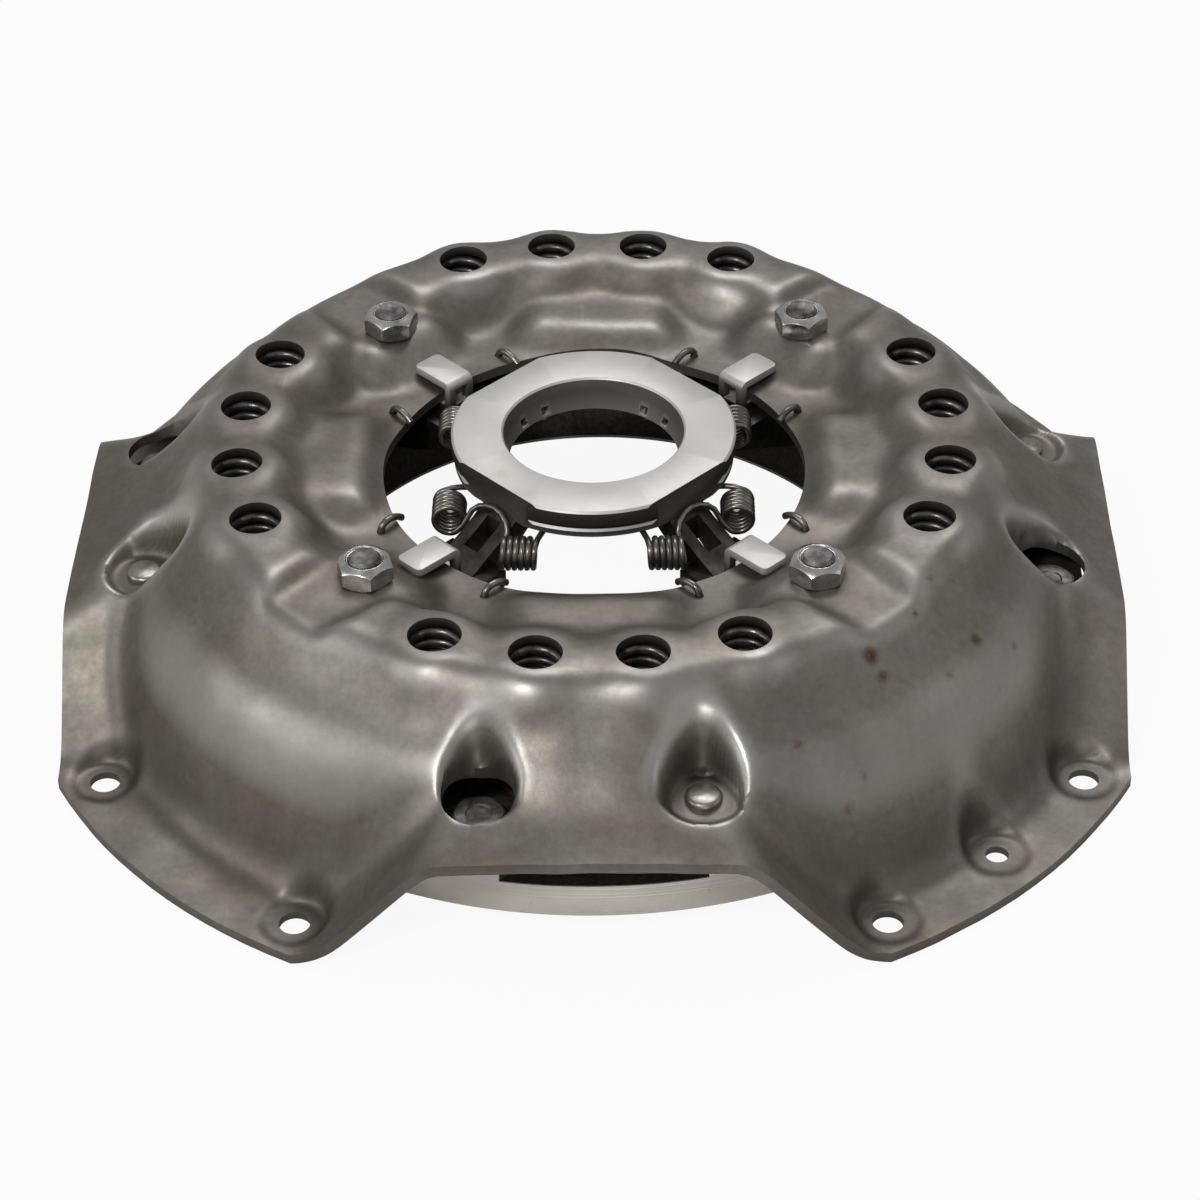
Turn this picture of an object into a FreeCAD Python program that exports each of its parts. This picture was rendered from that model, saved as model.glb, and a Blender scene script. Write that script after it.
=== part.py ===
"""Clutch pressure plate assembly: pressed cover, cast plate, coil springs, four levers and a release ring.

Millimetres. +Z points up, away from the flywheel. The origin is the centre of the flange's lower face,
which is the face that bolts to the flywheel. The clutch is drawn with its plate held back by transport clips.
"""
import FreeCAD
import Part
import math
import os

V = FreeCAD.Vector
UP = V(0, 0, 1)

# Circle of the coil springs, which the dome, the plate and the straps are laid out from
SPRING_PITCH_R = 130.0
SPRING_ANGLES = (-23.8, -8.0, 8.0, 23.8)

# Cover: one pressed steel sheet
SHEET = 4.0
CROWN_TOP = 84.0          # flat over the springs
CENTRE_TOP = 67.0         # flat round the central opening
CHANNEL_TOP = 78.0        # floor of the lever channels, where the nuts sit
LIP_TOP = 44.0            # raised lip at the middle of each side
OPENING_R = 77.5
SIDE_HALF = 191.0         # centre to each straight side
CORNER_R = 216.0          # round corners of the flange
WALL_R = SPRING_PITCH_R + 54.0   # outside of the wall at the flange, clear of the straps
LIP_HALF = 55.0
EAR_HALF = 92.0           # from the middle of a side to where the ear starts
DIAGONALS = (45, 135, 225, 315)
SIDES = (0, 90, 180, 270)

# Coil springs
SPRING_HOLE_R = 9.3
SPRING_R = 9.9            # to the middle of the wire
SPRING_WIRE = 4.4
SPRING_TURNS = 8          # pressed nearly solid, as the clips hold the clutch
SPRING_GAP = 0.3
POCKET_R = 17.2
BULGE_STEP = 1.0          # a bulge's top over the crown between the bulges

# Flange holes
BOLT_PCD_R = CORNER_R - 14.8
BOLT_SPREAD = 15.0        # degrees to each side of a diagonal
BOLT_HOLE_R = 5.4
DOWEL_R = CORNER_R - 17.7
DOWEL_HOLE_R = 4.1

# Drive straps, one at each side: riveted to the cover, bolted to the plate
WINDOW = (-37.0, WALL_R - 18.8)   # along the side, out from the centre
WINDOW_R = 12.5
WINDOW_TOP = 48.5
RIVET = (38.0, WALL_R - 21.0)
RIVET_TOP = 47.0
RIVET_R = 5.0
RIVET_SEAT_R = 12.5
STRAP_DROP = 5.5          # plate end hangs this much lower
LEAF = 0.95
LEAF_PITCH = 1.0
STRAP_HALF_WIDTH = 12.5

# Pressure plate
PLATE_CLEARANCE = 7.3     # between its rim and the wall of the cover
PLATE_R = WALL_R - PLATE_CLEARANCE
PLATE_BORE_R = SPRING_PITCH_R - 23.5
PLATE_FACE = 7.4
PLATE_RIM_TOP = 21.4
PLATE_TOP = 28.0
WASHER = 3.0

# Levers and their pivots, in the plane of a lever: out from the centre, and height
PIVOT = (111.2, 46.0)
OUTER_ARM = 16.0
PLATE_PIN = (PIVOT[0] + OUTER_ARM, PIVOT[1])
PIVOT_PIN_R = 5.0
PLATE_PIN_R = 4.5
PIN_FIT = 0.05
PLATE_PIN_PLAY = 0.35     # lets the pin swing through its small arc
LEVER_HALF = 14.0
LEVER_TOP = 59.4
LUG_OFFSET = 18.7         # to the middle of each lug cheek
TONGUE_HALF = 8.5
FORK_HALF = 7.5
EYE_HALF = 7.0
EYE_R = 9.5
STUD_R = 6.0
STUD_TOP = 86.85
NUT_FLATS = 18.0
NUT_HEIGHT = 8.0

# Release ring
RING_R = 52.0
RING_FLAT = 48.0
RING_BORE_R = 33.0
RING_TOP = 85.5
RING_BOTTOM = 73.2
RING_STEP = 79.5
NOSE_GAP = 0.35

# Wire parts
WIRE = 2.2
COIL_R = 5.2              # to the middle of the wire
COIL_AT = (RING_R + 6.5, 18.0, RING_BOTTOM - 5.3)   # out, degrees from the lever, height
COIL_TURNS = 5
COIL_POINTS = 6           # points of the wire's line in each turn
COIL_LENGTH = 10.4
HOOK_AT = (85.0, 18.7)    # hole of a stop wire: out, degrees from the lever
HOOK_TIP = (69.5, 23.5)
HOOK_LEG = 9.0
HOOK_GAP = 0.2
CLIP = 3.0
CLIP_TOP = CENTRE_TOP + 6.0
CLIP_INNER_R = 72.0
CLIP_LENGTH = 20.0
CLIP_FOOT = 18.0
CLIP_HALF = 6.0


def corner_arc(before, corner, after, radius):
    """Return the two tangent points and the arc between two straight runs, or None for a sharp corner."""
    a = (before - corner).normalize()
    b = (after - corner).normalize()
    half = a.getAngle(b) / 2
    if radius < 0.2 or half > 1.55:
        return None
    reach = radius / math.tan(half)
    middle = corner + (a + b).normalize() * (radius / math.sin(half) - radius)
    start = corner + a * reach
    end = corner + b * reach
    return start, Part.Arc(start, middle, end).toShape(), end


def rounded_edges(points):
    """Join points (r, z, bend radius) with straight runs and round bends, in the XZ plane."""
    corners = [V(r, 0, z) for r, z, bend in points]
    edges = []
    last = corners[0]
    for i in range(1, len(corners) - 1):
        bend = corner_arc(corners[i - 1], corners[i], corners[i + 1], points[i][2])
        if bend is None:
            edges.append(Part.LineSegment(last, corners[i]).toShape())
            last = corners[i]
        else:
            edges.append(Part.LineSegment(last, bend[0]).toShape())
            edges.append(bend[1])
            last = bend[2]
    edges.append(Part.LineSegment(last, corners[-1]).toShape())
    return edges


def inset(points, depth):
    """Move a line of (r, z, bend radius) points below itself by a depth, keeping its bends concentric."""
    moved = []
    for i, (r, z, bend) in enumerate(points):
        before = V(*points[max(i - 1, 0)][:2], 0)
        here = V(r, z, 0)
        after = V(*points[min(i + 1, len(points) - 1)][:2], 0)
        run_in = (here - before) if i > 0 else (after - here)
        run_out = (after - here) if i < len(points) - 1 else (here - before)
        run_in.normalize()
        run_out.normalize()
        normal_in = V(-run_in.y, run_in.x, 0)
        normal_out = V(-run_out.y, run_out.x, 0)
        shift = (normal_in + normal_out) * (depth / (1 + normal_in.dot(normal_out)))
        turn = run_in.x * run_out.y - run_in.y * run_out.x
        moved.append((r - shift.x, z - shift.y, bend + depth if turn > 0 else bend - depth))
    return moved


def face_below(points, floor):
    """Face between a line of points and a level floor."""
    edges = rounded_edges(points)
    first = V(points[0][0], 0, points[0][1])
    last = V(points[-1][0], 0, points[-1][1])
    low_last = V(last.x, 0, floor)
    low_first = V(first.x, 0, floor)
    edges.append(Part.LineSegment(last, low_last).toShape())
    edges.append(Part.LineSegment(low_last, low_first).toShape())
    edges.append(Part.LineSegment(low_first, first).toShape())
    return Part.Face(Part.Wire(Part.__sortEdges__(edges)))


def turned(points):
    """Solid of revolution about Z from a closed outline of (r, z) points."""
    corners = [V(r, 0, z) for r, z in points]
    return Part.Face(Part.makePolygon(corners + corners[:1])).revolve(V(0, 0, 0), UP, 360)


def plate_of(points, thickness, centre_y=0.0):
    """Closed outline of (x, z) points given a thickness along Y, half to each side of centre_y."""
    corners = [V(x, centre_y - thickness / 2, z) for x, z in points]
    return Part.Face(Part.makePolygon(corners + corners[:1])).extrude(V(0, thickness, 0))


def rod(radius, height, x, y, z):
    return Part.makeCylinder(radius, height, V(x, y, z), UP)


def turn(shape, angle):
    """Copy of a shape turned about the clutch's axis."""
    copy = shape.copy()
    copy.rotate(V(0, 0, 0), UP, angle)
    return copy


def polar(radius, angle):
    return radius * math.cos(math.radians(angle)), radius * math.sin(math.radians(angle))


def side_point(along, out, side):
    """A point given along and out from the side at -Y, turned to the side asked for."""
    x, y = along, -out
    angle = math.radians(side)
    return x * math.cos(angle) - y * math.sin(angle), x * math.sin(angle) + y * math.cos(angle)


def spring_angles():
    """Bearing of each of the sixteen springs."""
    return [side + spread for side in SIDES for spread in SPRING_ANGLES]


def prism(sides, radius, height, x, y, z):
    """Upright prism with its corners at the given radius, the first towards +X."""
    points = [V(*polar(radius, 360 * i / sides), 0) for i in range(sides + 1)]
    return Part.Face(Part.makePolygon(points)).extrude(V(0, 0, height)).translate(V(x, y, z))


# Cover

CROWN = [
    (0.0, CENTRE_TOP, 0),
    (SPRING_PITCH_R - 29.0, CENTRE_TOP, 0),
    (SPRING_PITCH_R - 14.5, CROWN_TOP - BULGE_STEP, 0),
    (SPRING_PITCH_R + 13.0, CROWN_TOP - BULGE_STEP, 0),
    (SPRING_PITCH_R + 22.0, CROWN_TOP - 14.0, 0),
    (WALL_R - 15.0, CROWN_TOP - 26.0, 0),
    (WALL_R - 3.5, CROWN_TOP - 46.0, 0),
    (WALL_R, SHEET + 10.0, 0),
    (WALL_R + 8.0, SHEET, 0),
    (CORNER_R + 10.0, SHEET, 0),
]

FLARE = [
    (SPRING_PITCH_R - 20.0, LIP_TOP + 31.0, 0),
    (SPRING_PITCH_R + 20.0, LIP_TOP + 22.0, 0),
    (WALL_R - 13.0, LIP_TOP + 9.0, 0),
    (SIDE_HALF, LIP_TOP, 0),
    (SIDE_HALF + 20.0, LIP_TOP - 8.7, 0),
]


def crown_inside():
    """Inner line of the dome: one sheet below the outer line, straight across the backs of the bulges."""
    line = inset(CROWN, SHEET)
    line[2] = (SPRING_PITCH_R - 11.5, CROWN_TOP - SHEET, 0)
    line[3] = (SPRING_PITCH_R + 12.6, CROWN_TOP - SHEET, 0)
    return line[:8]


def crown(profile):
    """Quarter of the dome, filled down past the flange."""
    return turn(face_below(profile, -1.0).revolve(V(0, 0, 0), UP, 90), -45)


def flare(depth):
    """Raised middle of one side: the side's slope over the width of a trapezoid."""
    slope = face_below(inset(FLARE, depth), -1.0)
    slope.translate(V(0, -110, 0))
    slope = slope.extrude(V(0, 220, 0))
    lean = (EAR_HALF - LIP_HALF) / (LIP_TOP - SHEET)
    in_plan = depth * math.sqrt(1 + lean * lean)
    half_top = LIP_HALF - (CROWN_TOP + 2 - LIP_TOP) * lean - in_plan
    half_low = EAR_HALF + (SHEET + 1) * lean - in_plan
    outline = [(-half_top, CROWN_TOP + 2), (half_top, CROWN_TOP + 2), (half_low, -1.0), (-half_low, -1.0)]
    corners = [V(80, y, z) for y, z in outline]
    trapezoid = Part.Face(Part.makePolygon(corners + corners[:1])).extrude(V(150, 0, 0))
    return slope.common(trapezoid)


def spring_pocket():
    """Round bulge over one spring."""
    edge = [(0, CROWN_TOP, 0), (POCKET_R, CROWN_TOP, 0), (POCKET_R + 2.5, 52.0, 0)]
    bulge = face_below(edge, 40.0).revolve(V(0, 0, 0), UP, 360)
    bulge.rotate(V(0, 0, 0), UP, 60)
    return bulge.translate(V(SPRING_PITCH_R, 0, 0))


def nut_pad(depth):
    """Raised pad with a ramp from the central flat, on which a lever's nut sits."""
    line = inset([(88.0, CENTRE_TOP - 6, 0), (99.5, CHANNEL_TOP, 0), (135.0, CHANNEL_TOP, 0)], depth)
    half = 17.0 - depth
    return Part.Face(face_below(line, 50.0).OuterWire).extrude(V(0, 2 * half, 0)).translate(V(0, -half, 0))


def lever_channel(depth):
    """Space above the floor of one lever channel: wide at its inner end, narrow at its outer end."""
    floor = CHANNEL_TOP - depth
    inner, outer = 19.5 + depth, 12.5 + depth
    corners = [V(80, -inner, floor), V(160, -outer, floor), V(160, outer, floor), V(80, inner, floor)]
    return Part.Face(Part.makePolygon(corners + corners[:1])).extrude(V(0, 0, 20))


def strap_recesses():
    """Flat-floored hollows of one side, for the strap's window and for its rivet."""
    window = Part.makeCone(WINDOW_R + 1.3, WINDOW_R + 4.0, 50, V(WINDOW[0], -WINDOW[1], WINDOW_TOP))
    rivet = Part.makeCone(RIVET_SEAT_R, RIVET_SEAT_R + 2.5, 50, V(RIVET[0], -RIVET[1], RIVET_TOP))
    return [window, rivet]


def strap_recess_backs():
    """The same two hollows as they stand out inside the cover."""
    backs = []
    for place, top, half in ((WINDOW, WINDOW_TOP, 18.0), (RIVET, RIVET_TOP, 16.5)):
        corner = V(place[0] - half, -place[1] - half, top - SHEET)
        backs.append(Part.makeBox(2 * half, 2 * half, 50, corner))
    return backs


def skin_outside():
    """Everything under the outer surface of one quarter of the pressed sheet."""
    body = crown(CROWN).fuse(flare(0.0))
    for angle in SPRING_ANGLES:
        body = body.fuse(turn(spring_pocket(), angle))
    for angle in (-45, 45):
        body = body.fuse(turn(nut_pad(0.0), angle))
    for angle in (-45, 45):
        body = body.cut(turn(lever_channel(0.0), angle))
    for hollow in strap_recesses():
        body = body.cut(turn(hollow, 90))
    return body


def skin_inside():
    """Everything under the inner surface of one quarter of the pressed sheet."""
    body = crown(crown_inside()).fuse(flare(SHEET))
    for angle in (-45, 45):
        body = body.fuse(turn(nut_pad(SHEET), angle))
    for angle in (-45, 45):
        body = body.cut(turn(lever_channel(SHEET), angle))
    for back in strap_recess_backs():
        body = body.cut(turn(back, 90))
    return body


def quarter_space():
    """Everything within 45 degrees of the +X axis."""
    reach = 250.0
    corners = [V(0, 0, -10), V(reach, -reach, -10), V(reach, reach, -10)]
    return Part.Face(Part.makePolygon(corners + corners[:1])).extrude(V(0, 0, 120))


def flange_outline():
    """Plan of the blank: a square with its corners rounded by the flange's circle."""
    square = Part.makeBox(2 * SIDE_HALF, 2 * SIDE_HALF, 120, V(-SIDE_HALF, -SIDE_HALF, 0))
    return square.common(rod(CORNER_R, 120, 0, 0, 0))


def cover_holes():
    """Every hole through the cover."""
    holes = [rod(OPENING_R, 60, 0, 0, 40)]
    for angle in spring_angles():
        holes.append(rod(SPRING_HOLE_R, 20, *polar(SPRING_PITCH_R, angle), 70))
    for angle in DIAGONALS:
        holes.append(rod(STUD_R + 0.5, 20, *polar(PIVOT[0], angle), 66))
        for spread in (-HOOK_AT[1], HOOK_AT[1]):
            holes.append(prism(6, WIRE / 2 + 0.5, 20, *polar(HOOK_AT[0], angle + spread), 55))
        for spread in (-BOLT_SPREAD, BOLT_SPREAD):
            holes.append(rod(BOLT_HOLE_R, 20, *polar(BOLT_PCD_R, angle + spread), -5))
    for angle in (135, 315):
        holes.append(rod(DOWEL_HOLE_R, 20, *polar(DOWEL_R, angle), -5))
    for side in SIDES:
        holes.append(rod(WINDOW_R, 20, *side_point(*WINDOW, side), WINDOW_TOP - 10))
        holes.append(prism(8, RIVET_R + PIN_FIT, 20, *side_point(*RIVET, side), RIVET_TOP - 10))
    return holes


def cover():
    """One quarter of the sheet, repeated four times and then pierced."""
    quarter = skin_outside().common(flange_outline()).common(quarter_space()).cut(skin_inside())
    sheet = quarter
    for angle in SIDES[1:]:
        sheet = sheet.fuse(turn(quarter, angle))
    return sheet.removeSplitter().cut(cover_holes())


# Pressure plate

def lug_cheek(offset):
    """One of the two upright cheeks that carry a lever's plate pin, drawn on the +X axis."""
    r, z = PLATE_PIN
    top = z + 8.5
    outline = [(r - 8, PLATE_TOP - 1), (r + 11, PLATE_TOP - 1), (r + 8, z), (r + 6, top - 2.5), (r + 2.5, top)]
    outline += [(r - 2.5, top), (r - 6, top - 2.5), (r - 8, z)]
    cheek = plate_of(outline, 7.0, offset)
    hole = Part.makeCylinder(PLATE_PIN_R + PLATE_PIN_PLAY, 12, V(r, offset - 6, z), V(0, 1, 0))
    return cheek.cut(hole)


def pressure_plate():
    """Cast ring with its friction face below, and spring seats, strap bosses and lever lugs above."""
    plate = turned([
        (PLATE_BORE_R, PLATE_FACE), (PLATE_R, PLATE_FACE), (PLATE_R, PLATE_TOP - 0.6), (PLATE_R - 8, PLATE_TOP),
        (112.0, PLATE_TOP), (PLATE_BORE_R, PLATE_RIM_TOP - 3),
    ])
    strap_low = RIVET_TOP - SHEET - STRAP_DROP - 3 * LEAF_PITCH
    for side in SIDES:
        notch = Part.makeBox(75, 24, 20, V(-35, -PLATE_R - 15, PLATE_RIM_TOP))
        plate = plate.cut(turn(notch, side))
    for side in SIDES:
        boss = rod(10.5, strap_low - PLATE_RIM_TOP + 2, WINDOW[0], -WINDOW[1], PLATE_RIM_TOP - 2)
        boss = boss.common(rod(PLATE_R, 100, 0, 0, 0))
        plate = plate.fuse(turn(boss, side))
        for spread in SPRING_ANGLES:
            place = polar(SPRING_PITCH_R, side + spread)
            plate = plate.fuse(prism(8, 6.0, 12, *place, PLATE_TOP - 3))
    for angle in DIAGONALS:
        for offset in (-LUG_OFFSET, LUG_OFFSET):
            plate = plate.fuse(turn(lug_cheek(offset), angle))
    for side in SIDES:
        plate = plate.cut(rod(RIVET_R + PIN_FIT, 40, *side_point(*WINDOW, side), PLATE_RIM_TOP - 6))
    return plate


def spring_washers():
    """Insulating washer under each spring."""
    ring = prism(12, SPRING_R + 3.4, WASHER, 0, 0, PLATE_TOP)
    ring = ring.cut(prism(8, 6.6, 6, 0, 0, PLATE_TOP - 1))
    return Part.makeCompound([moved(ring, *polar(SPRING_PITCH_R, side + spread), 0)
                              for side in SIDES for spread in SPRING_ANGLES])


def moved(shape, x, y, z):
    copy = shape.copy()
    copy.translate(V(x, y, z))
    return copy


# Springs and wires

def wire_along(points, radius, sides=3):
    """Closed tube along a line of points: a small polygon at each point, square to the line, joined by flat facets."""
    rings = []
    across = UP if abs((points[1] - points[0]).normalize().z) < 0.9 else V(1, 0, 0)
    for i, point in enumerate(points):
        ahead = (points[min(i + 1, len(points) - 1)] - points[max(i - 1, 0)]).normalize()
        across = (across - ahead * across.dot(ahead)).normalize()
        up = ahead.cross(across)
        turns = [2 * math.pi * (k + 0.5) / sides for k in range(sides)]
        rings.append([point + across * (radius * math.cos(t)) + up * (radius * math.sin(t)) for t in turns])
    facets = [rings[0][::-1], rings[-1]]
    for near, far in zip(rings, rings[1:]):
        for k in range(sides):
            n = (k + 1) % sides
            facets.append([near[k], near[n], far[n]])
            facets.append([near[k], far[n], far[k]])
    faces = [Part.Face(Part.makePolygon(corners + corners[:1])) for corners in facets]
    return Part.Solid(Part.Shell(faces))


def helix_points(radius, pitch, turns, per_turn=6):
    """Points of a helix about Z, starting on the X axis at z = 0."""
    count = int(turns * per_turn) + 1
    return [V(*polar(radius, 360.0 * i / per_turn), pitch * i / per_turn) for i in range(count)]


def coil_spring():
    """One clutch spring, between its washer and the underside of the cover."""
    low = PLATE_TOP + WASHER + SPRING_GAP + SPRING_WIRE / 2
    high = CROWN_TOP - SHEET - SPRING_GAP - SPRING_WIRE / 2
    pitch = (high - low) / SPRING_TURNS
    spring = wire_along(helix_points(SPRING_R, pitch, SPRING_TURNS), SPRING_WIRE / 2)
    return spring.translate(V(0, 0, low))


def coil_springs(side):
    """The four springs of one side."""
    spring = coil_spring()
    return Part.makeCompound([moved(spring, *polar(SPRING_PITCH_R, side + spread), 0) for spread in SPRING_ANGLES])


# Release levers

def lever():
    """One release lever along +X: forked round the eyebolt, with a narrow tongue that rises to the ring."""
    nose_top = RING_BOTTOM - NOSE_GAP
    px, pz = PIVOT
    qx, qz = PLATE_PIN
    beam = [
        (qx + 3, qz + 7.5), (qx + 7.5, qz + 3), (qx + 7.5, qz - 3), (qx + 3, qz - 7.5), (px, pz - 10.5),
        (94.0, pz - 8.0), (74.0, pz + 0.5), (58.0, pz + 7.0), (58.0, LEVER_TOP), (98.0, LEVER_TOP),
        (px, LEVER_TOP - 1.5),
    ]
    body = plate_of(beam, 2 * LEVER_HALF)
    tongue = [
        (76.0, LEVER_TOP), (70.0, LEVER_TOP), (53.0, 69.0), (49.5, nose_top - 1.5), (47.5, nose_top), (44.0, nose_top),
        (41.5, nose_top - 2.0), (41.5, nose_top - 6.0), (48.0, 61.5), (60.0, 53.0), (76.0, 50.0),
    ]
    body = body.fuse(plate_of(tongue, 2 * TONGUE_HALF))
    slot = Part.makeBox(12, 7, 60, V(50.0, -3.5, 30))
    fork = Part.makeBox(60, 2 * FORK_HALF, 60, V(px - EYE_R - 2.0, -FORK_HALF, 20))
    body = body.cut(slot).cut(fork)
    for place, radius in ((PIVOT, PIVOT_PIN_R + PIN_FIT), (PLATE_PIN, PLATE_PIN_R + PIN_FIT)):
        body = body.cut(Part.makeCylinder(radius, 60, V(place[0], -30, place[1]), V(0, 1, 0)))
    return body


def lever_pins():
    """The two pins of one lever: through the eyebolt, and through the plate's lug."""
    half = LEVER_HALF + 0.3
    through_eye = Part.makeCylinder(PIVOT_PIN_R, 2 * half, V(PIVOT[0], -half, PIVOT[1]), V(0, 1, 0))
    reach = LUG_OFFSET + 4.0
    through_lug = Part.makeCylinder(PLATE_PIN_R, 2 * reach, V(PLATE_PIN[0], -reach, PLATE_PIN[1]), V(0, 1, 0))
    return Part.makeCompound([through_eye, through_lug])


def eyebolt():
    """Stud with a flat-sided eye at its foot."""
    r, z = PIVOT
    eye = Part.makeCylinder(EYE_R, 2 * EYE_HALF, V(r, -EYE_HALF, z), V(0, 1, 0))
    stud = rod(STUD_R, STUD_TOP - z, r, 0, z)
    hole = Part.makeCylinder(PIVOT_PIN_R + PIN_FIT, 40, V(r, -20, z), V(0, 1, 0))
    return eye.fuse(stud).cut(hole)


def adjusting_nut():
    """Hexagonal nut seated on the floor of the lever channel."""
    corner = NUT_FLATS / math.sqrt(3)
    nut = prism(6, corner, NUT_HEIGHT, 0, 0, 0)
    nut = nut.cut(rod(STUD_R + PIN_FIT, 40, 0, 0, -10))
    return nut.translate(V(PIVOT[0], 0, CHANNEL_TOP))


def at_each_lever(shape):
    return Part.makeCompound([turn(shape, angle) for angle in DIAGONALS])


def transport_clip():
    """Bent strip wedged between a lever and the cover: a plate above, two prongs, and a foot under the sheet."""
    inner, half = CLIP_INNER_R, CLIP_HALF
    outer = inner + CLIP_LENGTH
    under_top = CLIP_TOP - CLIP
    foot_z = CENTRE_TOP - SHEET - CLIP
    top = Part.makeBox(CLIP_LENGTH, 2 * half, CLIP, V(inner, -half, under_top))
    web = Part.makeBox(CLIP, 2 * half, CLIP_TOP - foot_z, V(inner, -half, foot_z))
    foot = Part.makeBox(CLIP_FOOT, 2 * half, CLIP, V(inner, -half, foot_z))
    gap = Part.makeBox(CLIP + 2, half, under_top - foot_z - CLIP, V(inner - 1, -half / 2, foot_z + CLIP))
    end = rod(half + 2, 20, outer - half - 2, 0, under_top - 10)
    corner = Part.makeBox(40, 40, 10, V(outer - 5.0, -20, under_top - 3)).cut(end)
    return top.fuse(web).fuse(foot).cut(gap).cut(corner)


# Release ring

def release_ring():
    """Hard ring that the release bearing pushes on, with four flats over the levers."""
    ring = turned([
        (RING_BORE_R, RING_STEP), (RING_BORE_R, RING_TOP), (RING_R - 0.8, RING_TOP), (RING_R, RING_TOP - 0.8),
        (RING_R, RING_STEP), (RING_R - 1.6, RING_STEP - 0.8), (RING_R - 1.6, RING_STEP - 2.2),
        (RING_R - 0.8, RING_STEP - 3.0), (RING_R - 0.8, RING_BOTTOM + 1.5), (RING_R - 2.3, RING_BOTTOM),
        (RING_BORE_R - 2.0, RING_BOTTOM),
    ])
    for angle in DIAGONALS:
        flat = Part.makeBox(20, 80, 40, V(RING_FLAT, -40, 60))
        ring = ring.cut(turn(flat, angle))
    return ring


def ring_spring(angle):
    """Double torsion spring over one lever's tongue: bridge, two coils and two legs under the ring."""
    reach, spread, z = COIL_AT
    halves = []
    for hand in (-1, 1):
        x, y = polar(reach, angle + hand * spread)
        along = V(1, 0, 0) if abs(y) > abs(x) else V(0, 1, 0)
        toward = V(*polar(reach, angle), 0) - V(x, y, 0)
        along = along if along.dot(toward) > 0 else along * -1
        outward = V(x, y, 0) - along * V(x, y, 0).dot(along)
        outward.normalize()
        coil = []
        for i in range(COIL_TURNS * COIL_POINTS + 1):
            step = 2 * math.pi * (i - 1) / COIL_POINTS
            shift = (i / (COIL_TURNS * COIL_POINTS) - 0.5) * COIL_LENGTH
            round_axis = outward * (COIL_R * math.cos(step)) - UP * (COIL_R * math.sin(step))
            coil.append(V(x, y, z) + along * shift + round_axis)
        under = RING_BOTTOM - 2.0
        bore_edge = V(*polar(RING_BORE_R + 2.0, angle + hand * 10.0), under)
        far_under = V(*polar(RING_R - 7.0, angle + hand * 24.0), under)
        over = V(*polar(RING_R + 0.5, angle + hand * 7.0), RING_BOTTOM + 0.6)
        halves.append([bore_edge, far_under] + coil + [over])
    return wire_along(halves[0] + list(reversed(halves[1])), WIRE / 2)


def hook_wires(angle):
    """Two stop wires beside one lever: a leg under the sheet, and a finger above that reaches over the opening."""
    wires = []
    for hand in (-1, 1):
        hole = V(*polar(HOOK_AT[0], angle + hand * HOOK_AT[1]), 0)
        tip = V(*polar(HOOK_TIP[0], angle + hand * HOOK_TIP[1]), 0)
        outward = V(hole).normalize() * HOOK_LEG
        under = CENTRE_TOP - SHEET - WIRE / 2 - HOOK_GAP
        line = [hole + outward + UP * under, hole + UP * under]
        for share, rise in ((0.0, 0.8), (0.12, 2.6), (0.35, 3.2), (0.7, 2.2), (1.0, 0.2)):
            line.append(hole + (tip - hole) * share + UP * (CENTRE_TOP + rise))
        wires.append(wire_along(line, WIRE / 2, 4))
    return Part.makeCompound(wires)


# Drive straps

def strap_line(level):
    """S-shaped line of one strap leaf in the side's own plane, from the rivet to the plate's bolt."""
    high = RIVET_TOP - SHEET
    low = high - STRAP_DROP
    middle = (WINDOW[0] + RIVET[0]) / 2
    ends = STRAP_HALF_WIDTH
    return [
        (WINDOW[0] - ends, low - level),
        (middle - 24, low - level),
        (middle + 24, high - level),
        (RIVET[0] + ends, high - level),
    ]


def drive_strap(side):
    """Pack of three spring-steel leaves between the cover's rivet and the plate's bolt."""
    leaves = []
    for k in range(3):
        top = strap_line(k * LEAF_PITCH)
        under = [(x, z - LEAF) for x, z in reversed(top)]
        leaf = plate_of(top + under, 2 * STRAP_HALF_WIDTH, -(WINDOW[1] + RIVET[1]) / 2)
        for x, y in ((WINDOW[0], -WINDOW[1]), (RIVET[0], -RIVET[1])):
            leaf = leaf.cut(prism(8, RIVET_R + PIN_FIT, 60, x, y, 10))
        leaves.append(turn(leaf, side))
    return Part.makeCompound(leaves)


def strap_rivet():
    """Rivet that holds a strap's fixed end under the cover."""
    x, y = RIVET[0], -RIVET[1]
    under = RIVET_TOP - SHEET - 3 * LEAF_PITCH
    shank = prism(8, RIVET_R, RIVET_TOP + 0.5 - under + 0.5, x, y, under - 0.5)
    top = prism(12, 6.4, 3.4, x, y, RIVET_TOP)
    foot = prism(12, 8.0, 2.6, x, y, under - 2.6)
    return shank.fuse(top).fuse(foot)


def strap_bolt():
    """Hexagon-headed bolt that holds a strap's moving end on the plate's boss."""
    x, y = WINDOW[0], -WINDOW[1]
    seat = RIVET_TOP - SHEET - STRAP_DROP
    head = prism(6, 9.0, 6.0, x, y, seat)
    shank = prism(8, RIVET_R, 14.0, x, y, seat - 13.5)
    return head.fuse(shank)


def at_each_side(shape):
    return Part.makeCompound([turn(shape, side) for side in SIDES])


def export(name, shape):
    solids = shape.Solids
    shape = solids[0] if len(solids) == 1 else Part.makeCompound(solids)
    shape.exportStep("parts/%s.step" % name)


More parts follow.
